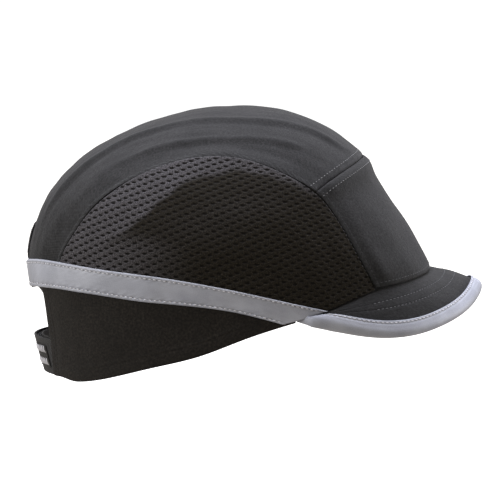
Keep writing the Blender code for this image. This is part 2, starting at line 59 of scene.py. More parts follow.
FRONT_PROFILE = [(0.113, -0.040), (0.1135, 0.012), (0.1118, 0.030), (0.0966, 0.0575),
                 (0.078, 0.0875), (0.0593, 0.1058), (0.030, 0.1178), (0.0, CROWN_TOP)]
SIDE_PROFILE = [(0.082, -0.060), (0.0865, -0.010), (0.0885, 0.028), (0.0835, 0.066),
                (0.065, 0.095), (0.034, 0.114), (0.0, CROWN_TOP)]
SQUARENESS = 0.35
ARCH_SEAM = [(-0.0925, 0.0285), (-0.0909, 0.0391), (-0.0834, 0.0542), (-0.0729, 0.0681),
             (-0.0521, 0.0841), (-0.0226, 0.0951), (0.0056, 0.0957), (0.0303, 0.0877),
             (0.0522, 0.0725), (0.0627, 0.0572), (0.0798, 0.0255)]
ARCH_AT_FRONT_SEAM = 0.0473
FRONT_HEM_ANGLE = 0.0
FRONT_SEAM_ANGLE = 39.8
REAR_EDGE_ANGLE = 185.5
HEM = [(0, 0.0300), (30.9, 0.0276), (40.8, 0.0242), (56.4, 0.0145), (70.6, 0.0072),
       (84.3, 0.0001), (99.4, -0.0087), (116.8, -0.0159), (140.8, -0.0256), (159.5, -0.0272)]
SIDE_SEAM = [(63.6, 0.0108), (79.4, 0.0175), (99.1, 0.0234), (115.8, 0.0265), (133.8, 0.0293),
             (144.0, 0.0298), (150.0, 0.0275), (158.0, 0.0225)]
TAPE_TOP_EDGE = [(56.4, 0.0144), (79.4, 0.0234), (99.1, 0.0296), (115.8, 0.0336),
                 (133.8, 0.0365), (151.5, 0.0387), (180, 0.0333)]
TAPE_LOW_EDGE = [(56.4, 0.0000), (70.9, 0.0077), (79.3, 0.0115), (99.2, 0.0172),
                 (116.0, 0.0194), (147.5, 0.0238), (180, 0.0193)]
SHELL_RIM = [(0, 0.0400), (40, 0.0360), (70, 0.0300), (90, 0.0280), (130, 0.0300), (180, 0.0320)]
OPENING_AZIMUTH = 158.0
MESH_FRONT_AZIMUTH = 40.8
LOWER_PANEL_FRONT_AZIMUTH = 66.5
FABRIC = 0.0012
MESH_FABRIC = 0.0018
TAPE = 0.0006
SEAM_TAPE = 0.0006
SWEATBAND = 0.0018
SHELL = 0.0020
FOAM = 0.0048
GAP = 0.0004
FOAM_GAP = 0.0010
SEAM_TAPE_WIDTH = 0.009
SEAM_TAPE_FRONT_END = 0.0625
OPENING_BINDING_WIDTH = 0.007
PATCH_AZIMUTH = 7.0
PATCH_HEIGHTS = (0.0362, 0.0545)
SWEATBAND_HEIGHT = 0.026
SWEATBAND_END = 80.0
INSET_AT_RIM = 0.0074
INSET_AT_TOP = 0.0034
VENT_WIDTH = 0.0080
VENT_LENGTH = 0.0240
VENT_AZIMUTHS = (66, 82, 98, 114)
VENT_ELEVATION = 27.0
BRIM_EDGE = [(0.0455, -0.0868, 0.0066), (0.0560, -0.0860, 0.0050), (0.0700, -0.0836, 0.0020),
             (0.0868, -0.0774, -0.0004), (0.1075, -0.0642, 0.0008), (0.1187, -0.0538, 0.0038),
             (0.1299, -0.0390, 0.0084), (0.1366, -0.0260, 0.0128), (0.1412, -0.0110, 0.0174),
             (0.1423, 0.0, 0.0186)]
BRIM_END_AZIMUTH = 61.5
BRIM_DROP = 0.0028
BRIM_ARCH = 0.0020
BRIM_BOARD = 0.0012
BRIM_FABRIC = 0.0007
BRIM_GAP = 0.0005
BRIM_LAYERS_END = 0.0024
BINDING_WIDTH = 0.0072
BINDING = 0.0006
UNDER_SLACK = 0.0004
STRAP_AXIS_X = -0.0482
STRAP_RADIUS = 0.0579
STRAP_MIDDLE = -0.0172
STRAP_HEIGHT = 0.0205
STRAP_LEAN = 0.27
WEBBING = 0.0014
HOOK_AND_LOOP = 0.0009
LABEL = 0.0004
STRAP_GAP = 0.0003
STRAP_END = 53.0
STRAP_FOLD = 6.3
TAB_END = 27.0
LOOP_END = 30.0
INNER_END = -28.0

# ---- Dimensions of the detail ----
# Ribs of the shell press through the top panel: a raised middle, and a step on each side.
RIB_CREST = 0.0305  # distance of the middle's raised edge from the centre line
RIB_FOOT = 0.0360
RIB_DEPTH = 0.0013
OUTER_RIB_CREST = 0.0500
OUTER_RIB_FOOT = 0.0545
OUTER_RIB_DEPTH = 0.0009
TOPSTITCH = 0.0028  # from a seam to the row of stitches beside it
FRONT_TOPSTITCH = 0.0044  # the same beside the front seam
HEM_ROW = 0.0068  # above the hem of a lower panel
REAR_ROWS = (0.0022, 0.0058)  # from its rear edge
TAPE_ROWS = (0.0021, 0.0023)  # from the reflective tape's lower edge and from its upper
STITCH_PITCH = 0.0027
NOMINAL_RADIUS = 0.1  # turns lengths round the crown into angles
# The netting's holes: two steps between neighbours, and a hole's half width and half height.
HOLE_STEP_A = (0.00348, 0.00150)
HOLE_STEP_B = (0.00278, -0.00276)
HOLE_HALF = (0.00132, 0.00060)
HOLE_DEPTH = 0.0006
FOAM_EDGE = 0.0014  # a pad's thickness at its edge
FLOOR = -0.26  # below the shell when it is fully out
# Lower edge of the netting's lighter band, on the side: x, z. Above it the netting is painted lighter,
# partly for the lining behind it and partly as painted light where the netting faces up.
BACKING_AND_LIGHT_EDGE = [(-0.0820, 0.034), (-0.0764, 0.040), (-0.0681, 0.047), (-0.0583, 0.054), (-0.0437, 0.067),
                (-0.0277, 0.080), (-0.0117, 0.086), (0.0044, 0.0885), (0.0205, 0.087), (0.0340, 0.082),
                (0.0490, 0.0740), (0.0555, 0.068), (0.0645, 0.059), (0.0720, 0.052)]


# ---- Curves and the crown's surface ----

def natural_cubic(knots, values):
    """A natural cubic through values at rising knots, as a function of an array."""
    knots = np.asarray(knots, float)
    values = np.asarray(values, float).reshape(len(knots), -1)
    steps = np.diff(knots)
    slopes = np.diff(values, axis=0) / steps[:, None]
    count = len(knots)
    matrix = np.eye(count)
    right = np.zeros_like(values)
    for i in range(1, count - 1):
        matrix[i, i - 1:i + 2] = steps[i - 1], 2 * (steps[i - 1] + steps[i]), steps[i]
        right[i] = 6 * (slopes[i] - slopes[i - 1])
    bends = np.linalg.solve(matrix, right)

    def at(t):
        t = np.asarray(t, float)
        i = np.clip(np.searchsorted(knots, t) - 1, 0, count - 2)
        step = steps[i][..., None]
        before = (t - knots[i])[..., None]
        after = (knots[i + 1] - t)[..., None]
        curve = (bends[i] * after ** 3 + bends[i + 1] * before ** 3) / (6 * step)
        start = (values[i] / step - bends[i] * step / 6) * after
        end = (values[i + 1] / step - bends[i + 1] * step / 6) * before
        return curve + start + end

    return at


def chord_spline(points):
    points = np.asarray(points, float)
    lengths = np.linalg.norm(np.diff(points, axis=0), axis=1)
    return natural_cubic(np.concatenate([[0], np.cumsum(lengths)]) / lengths.sum(), points)


def polar_table(profile):
    offsets = [(reach, height - CENTRE[2]) for reach, height in profile]
    angles = [math.atan2(up, out) for out, up in offsets]
    radius = natural_cubic(angles, [math.hypot(*offset) for offset in offsets])
    table = np.linspace(angles[0], angles[-1], 400)
    return table, radius(table)[:, 0]


REAR_TABLE = polar_table(REAR_PROFILE)
FRONT_TABLE = polar_table(FRONT_PROFILE)
SIDE_TABLE = polar_table(SIDE_PROFILE)


def unit(vectors):
    return vectors / np.linalg.norm(vectors, axis=-1, keepdims=True)


def mix(start, end, share):
    return start + (end - start) * share


def ease(value, start, end):
    """0 on the side of start and 1 on the side of end, whichever is the higher."""
    share = np.clip((value - start) / (end - start), 0.0, 1.0)
    return share * share * (3 - 2 * share)


def bell(value, width):
    return np.exp(-(value / width) ** 2)


def crown_radius(direction):
    flat = np.maximum(np.hypot(direction[..., 0], direction[..., 1]), 1e-6)
    angle = np.arctan2(direction[..., 2], flat)
    ahead = direction[..., 0] >= 0
    along = np.where(ahead, np.interp(angle, *FRONT_TABLE), np.interp(angle, *REAR_TABLE))
    across = np.interp(angle, *SIDE_TABLE)
    power = 2 + SQUARENESS * flat ** 2
    forward = np.maximum(np.abs(direction[..., 0]), 1e-6) / flat
    total = (forward / along) ** power + (np.abs(direction[..., 1]) / flat / across) ** power
    return total ** (-1 / power)


def crown_normal(direction):
    helper = np.where(np.abs(direction[..., 2:]) < 0.9, [0.0, 0.0, 1.0], [1.0, 0.0, 0.0])
    side = unit(np.cross(direction, helper))
    spans = []
    for tangent in (side, np.cross(direction, side)):
        ahead = unit(direction + tangent * 0.01)
        behind = unit(direction - tangent * 0.01)
        spans.append(ahead * crown_radius(ahead)[..., None] - behind * crown_radius(behind)[..., None])
    return unit(np.cross(spans[0], spans[1]))


def crown_point(direction, depth=0.0):
    """The crown's points along directions, moved in along the surface normal."""
    direction = unit(direction)
    point = CENTRE + direction * crown_radius(direction)[..., None]
    return point - crown_normal(direction) * np.asarray(depth)[..., None]


def polar(azimuth, elevation):
    azimuth, elevation = np.broadcast_arrays(np.radians(azimuth), np.radians(elevation))
    level = np.cos(elevation)
    return np.stack([level * np.cos(azimuth), level * np.sin(azimuth), np.sin(elevation)], -1)


def bisect(shape, low, high, holds):
    """Where a test that holds from low upward stops holding, for an array of this shape."""
    low, high = np.full(shape, low), np.full(shape, high)
    for _ in range(28):
        middle = (low + high) / 2
        held = holds(middle)
        low, high = np.where(held, middle, low), np.where(held, high, middle)
    return low


def elevation_at(azimuth, height):
    azimuth, height = np.broadcast_arrays(np.asarray(azimuth, float), np.asarray(height, float))

    def under(elevation):
        direction = polar(azimuth, elevation)
        return CENTRE[2] + direction[..., 2] * crown_radius(direction) < height
    return bisect(azimuth.shape, -60.0, 89.0, under)


def ring_point(azimuth, height, depth=0.0):
    """The points at azimuths (negative on the right) where the crown has these heights."""
    return crown_point(polar(azimuth, elevation_at(azimuth, height)), depth)


def heights(edge):
    """The height of an edge at an azimuth, which may run past 180 onto the other side."""
    curve = natural_cubic(*zip(*edge))
    return lambda azimuth: curve(180 - np.abs(180 - np.abs(azimuth)))[..., 0]


hem = heights(HEM)
side_seam = heights(SIDE_SEAM)
tape_top = heights(TAPE_TOP_EDGE)
tape_low = heights(TAPE_LOW_EDGE)
shell_rim = heights(SHELL_RIM)


def on_right(x, z):
    """The crown's points with these x and z on the right side."""
    def within(y):
        offset = np.stack([x, -y, z - CENTRE[2]], -1)
        length = np.linalg.norm(offset, axis=-1)
        return length < crown_radius(offset / length[..., None])
    return np.stack([x, -bisect(np.shape(x), 0.0, 0.150, within), z], -1)


flat_arch = chord_spline(ARCH_SEAM)
ARCH_SHARES = np.linspace(0, 1, 401)


def share_at(x):
    return float(np.interp(x, flat_arch(ARCH_SHARES)[:, 0], ARCH_SHARES))


FRONT_SEAM_SHARE = share_at(ARCH_AT_FRONT_SEAM)


def arch(share):
    """Points of the right arch seam at shares of its length, from the rear to the front hem."""
    flat = flat_arch(share)
    return on_right(flat[..., 0], flat[..., 1])


def over_crown(side_point, middle_angle, u):
    """Directions on the arcs from points on the right (u -1) over the centre line to the left."""
    side = side_point - CENTRE
    reach = np.hypot(side[..., 0], side[..., 2])
    turn = np.degrees(np.arctan2(side[..., 2], side[..., 0])) - middle_angle
    turn = (turn + 180) % 360 - 180
    angle = np.radians(middle_angle + turn * u * u)
    angle, swing = np.broadcast_arrays(angle, u * np.arctan2(-side[..., 1], reach))
    return np.stack([np.cos(angle) * np.cos(swing), np.sin(swing), np.sin(angle) * np.cos(swing)], -1)


def arc_along(points, axis):
    """The length passed at each point of a grid along an axis, from its first point."""
    steps = np.linalg.norm(np.diff(points, axis=axis), axis=-1)
    length = np.cumsum(steps, axis=axis)
    start = np.zeros_like(np.take(length, [0], axis=axis))
    return np.concatenate([start, length], axis=axis)


def from_and_to(points, axis=0):
    """The lengths along an axis of a grid from its first point and to its last."""
    length = arc_along(points, axis)
    return length, np.take(length, [-1], axis=axis) - length


def to_ends(points, axis):
    """The distance to the nearer end along an axis of a grid."""
    return np.minimum(*from_and_to(points, axis))


def spread(count, packing=4.0, reach=0.04):
    """Rising values from 0 to 1 that lie closer together near both ends."""
    fine = np.linspace(0, 1, 2001)
    density = 1 + packing * (np.exp(-fine / reach) + np.exp(-(1 - fine) / reach))
    passed = np.concatenate([[0], np.cumsum((density[1:] + density[:-1]) / 2)])
    return np.interp(np.linspace(0, passed[-1], count), passed, fine)


def ripple(points, size, seed, count=7):
    """Smooth unevenness from -1 to 1 with features of about this size."""
    random = np.random.default_rng(seed)
    total = np.zeros(points.shape[:-1])
    for _ in range(count):
        direction = unit(random.normal(size=3)) * random.uniform(0.7, 1.5) * 2 * math.pi / size
        total += np.sin(points @ direction + random.uniform(0, 2 * math.pi))
    return total / math.sqrt(count)


# ---- Materials ----

class Look:
    """A principled material, with short calls for the nodes that make up its pattern."""

    def __init__(self, name, roughness, sheen=0.0, specular=0.5):
        self.material = bpy.data.materials.new(name)
        self.material.use_nodes = True
        self.tree = self.material.node_tree
        self.shader = self.tree.nodes["Principled BSDF"]
        settings = {"Roughness": roughness, "Sheen Weight": sheen, "Sheen Roughness": 0.5,
                    "Specular IOR Level": specular}
        for socket, value in settings.items():
            self.shader.inputs[socket].default_value = value

    def put(self, value, socket):
        if isinstance(value, bpy.types.NodeSocket):
            self.tree.links.new(value, socket)
        else:
            socket.default_value = (*value, 1) if socket.type == "RGBA" else value

    def node(self, kind, inputs=(), **settings):
        """The outputs of a new node, whose inputs are given by name or number."""
        made = self.tree.nodes.new("ShaderNode" + kind)
        for key, value in settings.items():
            setattr(made, key, value)
        for key, value in dict(inputs).items():
            self.put(value, made.inputs[key])
        return made.outputs

    def cloth(self):
        """Coordinates along the cloth, in metres."""
        return self.node("UVMap", uv_map="Cloth")[0]

    def place(self):
        return self.node("TexCoord")["Object"]

    def math(self, operation, *values):
        return self.node("Math", enumerate(values), operation=operation)[0]

    def dot(self, vector, factors):
        return self.node("VectorMath", {0: vector, 1: factors}, operation="DOT_PRODUCT")["Value"]

    def waves(self, vector, direction, pitch):
        """Ridges square to a direction, from 0 to 1."""
        scale = 2 * math.pi / pitch / math.hypot(*direction)
        sine = self.math("SINE", self.dot(vector, (direction[0] * scale, direction[1] * scale, 0)))
        return self.sum(sine, 0.5, 0.5)

    def noise(self, vector, size, detail=2.0, rough=0.5):
        inputs = {"Vector": vector, "Scale": 1 / size, "Detail": detail, "Roughness": rough}
        return self.node("TexNoise", inputs)[0]

    def cells(self, vector, size, feature):
        return self.node("TexVoronoi", {"Vector": vector, "Scale": 1 / size}, feature=feature)["Distance"]

    def step(self, value, low, high, start=0.0, end=1.0):
        inputs = enumerate((value, low, high, start, end))
        return self.node("MapRange", inputs, interpolation_type="SMOOTHSTEP")[0]

    def blend(self, share, start, end):
        return self.node("Mix", {0: share, 6: start, 7: end}, data_type="RGBA")[2]

    def product(self, first, second):
        return self.math("MULTIPLY", first, second)

    def sum(self, first, factor, second):
        return self.math("MULTIPLY_ADD", first, factor, second)

    def shades(self, share, low, high, dark, light):
        """Colours from dark to light as the share goes from low to high."""
        return self.blend(self.step(share, low, high), dark, light)

    def colour(self, value):
        self.put(value, self.shader.inputs["Base Color"])

    def bump(self, height, distance, under=None):
        """Bumps up to this many metres high, on top of those under them."""
        inputs = {"Height": height, "Distance": distance}
        if under:
            inputs["Normal"] = under
        normal = self.node("Bump", inputs)[0]
        self.put(normal, self.shader.inputs["Normal"])
        return normal


def twill_look(name, dark, light, sheen=0.06):
    """Brushed cotton twill: fine diagonal ribs, slubs, and a little paler where it is rubbed."""
    look = Look(name, 0.88, sheen, specular=0.25)
    cloth = look.cloth()
    slub = look.noise(cloth, 0.0013, 3.0, 0.75)
    patch = look.noise(cloth, 0.020, 4.0, 0.6)
    mottle = look.step(look.noise(cloth, 0.0026, 2.0), 0.30, 0.70, 0.72, 1.0)
    rib = look.waves(cloth, (1.0, 1.0), 0.00055)
    share = look.step(look.sum(rib, 0.15, look.product(slub, 0.85)), 0.34, 0.66)
    share = look.product(share, look.step(patch, 0.30, 0.70, 0.60, 1.0))
    look.colour(look.blend(look.product(share, mottle), dark, light))
    base = look.bump(look.sum(rib, 0.3, slub), 0.00016)
    look.bump(look.noise(cloth, 0.006, 2.0), 0.00030, base)
    return look.material


def netting_look(name):
    """Knitted netting: rows of dark holes between soft yarn bridges."""
    look = Look(name, 0.85, 0.02, specular=0.15)
    cloth = look.cloth()
    inverse = np.linalg.inv(np.array([HOLE_STEP_A, HOLE_STEP_B]).T)
    shares = [look.dot(cloth, (*row, 0)) for row in inverse]
    parts = [look.math("SUBTRACT", share, look.math("ROUND", share)) for share in shares]
    squares = []
    for step_a, step_b, half in zip(HOLE_STEP_A, HOLE_STEP_B, HOLE_HALF):
        across = look.sum(parts[1], step_b / half, look.product(parts[0], step_a / half))
        squares.append(look.product(across, across))
    hole = look.math("SQRT", look.math("ADD", *squares))
    yarn = look.noise(cloth, 0.0007, 3.0, 0.7)
    # The mask below makes the netting lighter in a band: partly the lining behind it, partly painted light
    # where the netting faces up. dark and pale are its shaded and lit yarn colours, and floor gives its
    # holes the same shift.
    band = look.node("Attribute", attribute_name="backing_and_painted_light")["Fac"]
    dark = look.shades(yarn, 0.36, 0.66, (0.0018, 0.0014, 0.0009), (0.0198, 0.0154, 0.0092))
    pale = look.shades(yarn, 0.36, 0.66, (0.016, 0.015, 0.016), (0.098, 0.092, 0.099))
    bridge = look.blend(band, dark, pale)
    floor = look.blend(band, (0.0036, 0.0025, 0.0014), (0.008, 0.007, 0.007))
    # Painted glints: sparse pale specks on the yarn, brightest in the lighter band.
    painted_glint = look.product(look.step(look.noise(cloth, 0.0005, 1.0), 0.60, 0.72), 0.5)
    bridge = look.blend(painted_glint, bridge, look.blend(band, (0.075, 0.065, 0.050), (0.240, 0.232, 0.245)))
    look.colour(look.shades(hole, 0.75, 1.2, floor, bridge))
    base = look.bump(look.step(hole, 0.7, 1.5), 0.0003)
    look.bump(yarn, 0.00012, base)
    return look.material


def reflective_look(name):
    """Silver-grey tape coated with glass beads: even, satin and very finely grained."""
    look = Look(name, 0.42, 0.0, specular=0.5)
    cloth = look.cloth()
    grain = look.noise(cloth, 0.00035, 2.0)
    share = look.sum(grain, 0.5, look.product(look.noise(cloth, 0.018, 3.0), 0.5))
    look.colour(look.shades(share, 0.3, 0.7, (0.242, 0.253, 0.298), (0.408, 0.424, 0.482)))
    base = look.bump(grain, 0.00005)
    look.bump(look.noise(cloth, 0.004, 2.0), 0.00015, base)
    return look.material


def ribbon_look(name, dark, light, pitch=0.0006):
    """Plain woven ribbon: ribs across, with a finer rib along."""
    look = Look(name, 0.75, 0.08, specular=0.3)
    cloth = look.cloth()
    weave = look.product(look.waves(cloth, (1.0, 0.0), pitch), look.waves(cloth, (0.0, 1.0), pitch * 1.4))
    look.colour(look.shades(look.noise(cloth, 0.0014, 3.0), 0.3, 0.7, dark, light))
    look.bump(weave, 0.00012)
    return look.material


def webbing_look(name, dark, light):
    """Heavier webbing: a herringbone of coarse ribs."""
    look = Look(name, 0.72, 0.08, specular=0.3)
    cloth = look.cloth()
    rib = look.waves(cloth, (1.0, 0.9), 0.0013)
    other = look.waves(cloth, (1.0, -0.9), 0.0013)
    row = look.step(look.waves(cloth, (0.0, 1.0), 0.0050), 0.45, 0.55)
    chevron = look.sum(rib, row, look.product(other, look.math("SUBTRACT", 1.0, row)))
    look.colour(look.shades(chevron, 0.15, 0.85, dark, light))
    base = look.bump(chevron, 0.00022)
    look.bump(look.noise(cloth, 0.0006, 2.0), 0.00008, base)
    return look.material


def pile_look(name, dark, light, size, depth, roughness=0.97):
    """Cloth with a pile: towelling, loop tape, hook tape or brushed foam lining, by size."""
    look = Look(name, roughness, 0.15, specular=0.2)
    cloth = look.cloth()
    tufts = look.step(look.cells(cloth, size, "F1"), 0.15, 0.75, 1.0, 0.0)
    share = look.sum(tufts, 0.6, look.product(look.noise(cloth, size * 0.5, 3.0, 0.6), 0.5))
    look.colour(look.blend(share, dark, light))
    look.bump(share, depth)
    return look.material


def foam_look(name):
    """Closed-cell foam: an even charcoal skin with small open cells and faint mottling."""
    look = Look(name, 0.93, 0.1, specular=0.2)
    cloth = look.cloth()
    wall = look.step(look.cells(cloth, 0.0010, "DISTANCE_TO_EDGE"), 0.02, 0.25)
    share = look.sum(wall, 0.6, look.product(look.noise(cloth, 0.012, 3.0), 0.5))
    look.colour(look.blend(share, (0.060, 0.061, 0.066), (0.022, 0.022, 0.025)))
    look.bump(wall, -0.00012)
    return look.material


def plastic_look(name, dark, light, roughness=0.38):
    """Moulded plastic: a fine spark-eroded grain, slightly uneven gloss and flow marks."""
    look = Look(name, roughness, 0.0, specular=0.5)
    place = look.place()
    grain = look.noise(place, 0.0006, 2.0)
    look.colour(look.shades(look.noise(place, 0.030, 4.0), 0.3, 0.7, dark, light))
    gloss = look.step(grain, 0.3, 0.7, roughness - 0.05, roughness + 0.12)
    look.put(gloss, look.shader.inputs["Roughness"])
    look.bump(grain, 0.00006)
    return look.material


def thread_look(name, dark, light):
    """Sewing thread: twisted plies that show as fine slanting lines."""
    look = Look(name, 0.5, 0.05, specular=0.4)
    ply = look.noise(look.place(), 0.00035, 2.0)
    look.colour(look.shades(ply, 0.3, 0.7, dark, light))
    look.bump(ply, 0.00008)
    return look.material


# ---- Making pieces ----

def new_mesh(name, points, faces, look, uv=None):
    mesh = bpy.data.meshes.new(name)
    mesh.from_pydata(points, [], faces)
    if uv is not None:
        corners = np.empty(len(mesh.loops), np.int32)
        mesh.loops.foreach_get("vertex_index", corners)
        layer = mesh.uv_layers.new(name="Cloth")
        layer.data.foreach_set("uv", uv[corners].astype(np.float32).ravel())
    mesh.shade_smooth()
    mesh.materials.append(look)
    obj = bpy.data.objects.new(name, mesh)
    bpy.context.scene.collection.objects.link(obj)
    return obj


def finish_piece(obj, body="cover", node=None):
    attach(obj, body)
    if node:
        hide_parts(node)


def cloth_axes(points):
    """Coordinates in metres along a grid's columns and rows, measured from its middle."""
    across = arc_along(points, 1)
    along = arc_along(points, 0)
    middle_column = points.shape[1] // 2
    middle_row = points.shape[0] // 2
    across = across - across[:, middle_column:middle_column + 1]
    along = along - along[middle_row:middle_row + 1, :]
    return np.stack([across, along], -1)


def grid_quads(points, inside):
    rows, columns = points.shape[:2]
    index = np.arange(rows * columns).reshape(rows, columns)
    quads = np.stack([index[:-1, :-1], index[:-1, 1:], index[1:, 1:], index[1:, :-1]], -1).reshape(-1, 4)
    flat = points.reshape(-1, 3)
    corners = flat[quads]
    normals = np.cross(corners[:, 2] - corners[:, 0], corners[:, 3] - corners[:, 1])
    if (normals * (corners.mean(axis=1) - inside)).sum() < 0:
        quads = quads[:, ::-1]
    return quads


def thicken(obj, thickness):
    layer = obj.modifiers.new("thickness", "SOLIDIFY")
    layer.thickness = thickness
    layer.offset = -1


def surface(node, points, look, thickness, slot=None, body="cover", inside=CENTRE, uv=None, rounding=0.0):
    """A layer of cloth in place of a CAD node; its outer surface is a grid of points."""
    uv = cloth_axes(points) if uv is None else uv
    quads = grid_quads(points, inside)
    obj = new_mesh(node + "_detail", points.reshape(-1, 3), quads, look, uv.reshape(-1, 2))
    thicken(obj, thickness)
    if rounding:
        bevel = obj.modifiers.new("rounded edge", "BEVEL")
        bevel.width = rounding
        bevel.segments = 3
        bevel.limit_method = "ANGLE"
        bevel.angle_limit = math.radians(50)
    if slot:
        finish_piece(obj, body, node)
    return obj, points


def declare_sheet(obj, points, with_pieces=()):
    """Works out the width, length and area that a cloth piece's grid of points unrolls to; nothing is done
    with them.
    """
    width = float(arc_along(points, 1)[:, -1].max())
    length = float(arc_along(points, 0)[-1, :].max())
    corner = points[:-1, :-1], points[:-1, 1:], points[1:, 1:], points[1:, :-1]
    area = float(np.linalg.norm(np.cross(corner[2] - corner[0], corner[3] - corner[1]), axis=-1).sum() / 2)
    area = min(area, width * length)


def face_away(obj, offsets):
    """Turns a mesh's faces to the side that the offsets at its points lead to."""
    normals = np.array([vert.normal for vert in obj.data.vertices])
    if (offsets.reshape(-1, 3) * normals).sum() < 0:
        obj.data.flip_normals()


def face_outward(obj):
    """Turns a closed mesh's faces outward."""
    work = bmesh.new()
    work.from_mesh(obj.data)
    bmesh.ops.recalc_face_normals(work, faces=work.faces)
    work.to_mesh(obj.data)
    work.free()
    obj.data.shade_smooth()


class Stitches:
    """Rows of sewing thread that are joined into one piece."""

    rings = np.array([(-0.5, 0.25), (-0.36, 0.85), (0.0, 1.0), (0.36, 0.85), (0.5, 0.25)])

    def __init__(self):
        self.points = []
        self.faces = []

    def row(self, path, normals, pitch=STITCH_PITCH, length=0.0020, width=0.00045, lift=0.0):
        """Thread stitches along a path on a surface, each an arched bead with sunken ends."""
        passed = arc_along(path, 0)
        count = max(1, int(passed[-1] / pitch))
        middles = (np.arange(count) + 0.5) * passed[-1] / count

        def at(values, where):
            return np.stack([np.interp(where, passed, values[:, k]) for k in range(3)], -1)
        forward = unit(at(path, middles + length / 2) - at(path, middles - length / 2))
        upward = unit(at(normals, middles))
        self.add(at(path, middles) + upward * lift, forward, upward, length, width)

    def add(self, middles, forward, upward, length, width):
        sideways = unit(np.cross(upward, forward))
        turns = np.linspace(0, 2 * math.pi, 6, endpoint=False)
        start = sum(len(part) for part in self.points)
        along, swell = self.rings.T
        arch_height = width * (0.30 - 1.6 * along ** 2)
        grid = (middles[:, None, None, :]
                + forward[:, None, None, :] * (along * length)[None, :, None, None]
                + sideways[:, None, None, :] * (np.cos(turns) * width / 2 * swell[:, None])[None, :, :, None]
                + upward[:, None, None, :] * (np.sin(turns) * width * 0.4 * swell[:, None]
                                              + arch_height[:, None])[None, :, :, None])
        self.points.append(grid.reshape(-1, 3))
        size = len(along) * len(turns)
        index = np.arange(size).reshape(len(along), len(turns))
        around = np.roll(index, -1, axis=1)
        quads = np.stack([index[:-1], index[1:], around[1:], around[:-1]], -1).reshape(-1, 4)
        for number in range(len(middles)):
            first = start + number * size
            self.faces.extend((quads + first).tolist())
            self.faces.append((index[0] + first).tolist())
            self.faces.append((index[-1][::-1] + first).tolist())

    def make(self, name, look, slot, body="cover"):
        obj = new_mesh(name, np.concatenate(self.points), self.faces, look)
        face_outward(obj)
        finish_piece(obj, body)


# ---- Cover ----

def seam_relief(distance, fold=0.0006, band=0.00014, row=TOPSTITCH):
    """Cloth dips into a seam, is thicker as far as the topstitching, and dips a little there."""
    dip = -fold * bell(distance, 0.0006)
    felled = band * ease(distance, row + 0.0009, row - 0.0002)
    stitched = -0.00012 * bell(distance - row, 0.0004)
    return dip + felled + stitched


def outer_rib_fade(x):
    return ease(x, -0.066, -0.045) * ease(x, 0.046, 0.034)


def top_panel_relief(points):
    """Heights over the crown of the shell's ribs, the seams and the cloth's unevenness."""
    x = points[..., 0]
    off_centre = np.abs(points[..., 1])
    to_arch = to_ends(points, 1)
    fade = ease(x, -0.106, -0.088) * ease(x, 0.070, 0.056)
    wander = 0.0012 * np.sin(x * 60 + 0.6)
    inner = ease(off_centre, RIB_CREST + wander, RIB_FOOT + wander)
    outer_fade = outer_rib_fade(x)
    outer = ease(off_centre, OUTER_RIB_CREST, OUTER_RIB_FOOT) * outer_fade
    crest = 0.00048 * bell(off_centre - RIB_CREST - wander + 0.0008, 0.0020)
    crest = crest + 0.00042 * bell(off_centre - OUTER_RIB_CREST + 0.0008, 0.0018) * outer_fade
    ribs = fade * (crest - RIB_DEPTH * inner) - OUTER_RIB_DEPTH * outer
    ribs = ribs * ease(to_arch, -0.004, 0.012)
    uneven = 0.00022 * ripple(points, 0.030, 3) + 0.00010 * ripple(points, 0.011, 4)
    uneven = uneven * ease(to_arch, 0.0, 0.004)
    pucker = 0.00012 * np.sin(arc_along(points, 0) * 2 * math.pi / 0.0046) * bell(to_arch - 0.0018, 0.0014)
    return ribs + uneven + pucker + seam_relief(to_arch, 0.00015)


def top_directions(u, v):
    side = arch(v * FRONT_SEAM_SHARE)[:, None, :]
    return over_crown(side, mix(REAR_EDGE_ANGLE, FRONT_SEAM_ANGLE, v)[:, None], u[None, :])


def make_top_panel(look):
    u = 2 * spread(190, 2.5, 0.03) - 1
    v = spread(230, 1.5, 0.03)
    margin = 0.0005
    directions = top_directions(u * (1 - margin), mix(margin, 1 - margin, v))
    base = crown_point(directions)
    height = top_panel_relief(base)
    to_front = from_and_to(base)[1]
    height = height + seam_relief(to_front, 0.0004, row=FRONT_TOPSTITCH) + 0.0012 * bell(to_front, 0.0100)
    full = ease(-base[..., 0], 0.050, 0.080) * ease(base[..., 2], 0.055, 0.075)
    height = height + 0.0009 * full - 0.0007 * bell(base[..., 0] + 0.026, 0.024)
    points = crown_point(directions, -height)
    return surface("top_panel", points, look, FABRIC, "black_twill")


def make_front_panel(look):
    u = 2 * spread(170, 2.5, 0.03) - 1
    v = spread(110, 2.0, 0.05)
    share = mix(0.0014, 0.997, v)
    side = arch(mix(FRONT_SEAM_SHARE, 1.0, share))[:, None, :]
    angle = mix(FRONT_SEAM_ANGLE, FRONT_HEM_ANGLE, share)[:, None]
    directions = over_crown(side, angle, u[None, :] * 0.9998)
    base = crown_point(directions)
    from_seam, from_hem = from_and_to(base)
    to_arch = to_ends(base, 1)
    azimuth = np.arctan2(base[..., 1], base[..., 0])
    inside = ease(from_hem, 0.0, 0.008) * ease(to_arch, 0.0, 0.010)
    folds = 0.00035 * np.sin(azimuth * 9 + 1.2 + base[..., 2] * 25) * inside
    folds = folds + 0.00040 * ripple(base, 0.030, 8) * inside * ease(from_seam, 0.002, 0.010)
    held = ease(to_arch, 0.0, 0.012)
    bulge = 0.0022 * bell(from_seam - 0.0040, 0.0062) + 0.0013 * bell(from_seam - 0.0380, 0.0150)
    bulge = (bulge + 0.0012 * bell(from_hem - 0.0040, 0.0110)) * mix(0.35, 1.0, held)
    relief = seam_relief(from_seam, 0.0004, row=FRONT_TOPSTITCH)
    relief = relief + seam_relief(to_arch, 0.0003) + seam_relief(from_hem, 0.0003)
    points = crown_point(directions, -(folds + bulge + relief))
    return surface("front_panel", points, look, FABRIC, "black_twill")


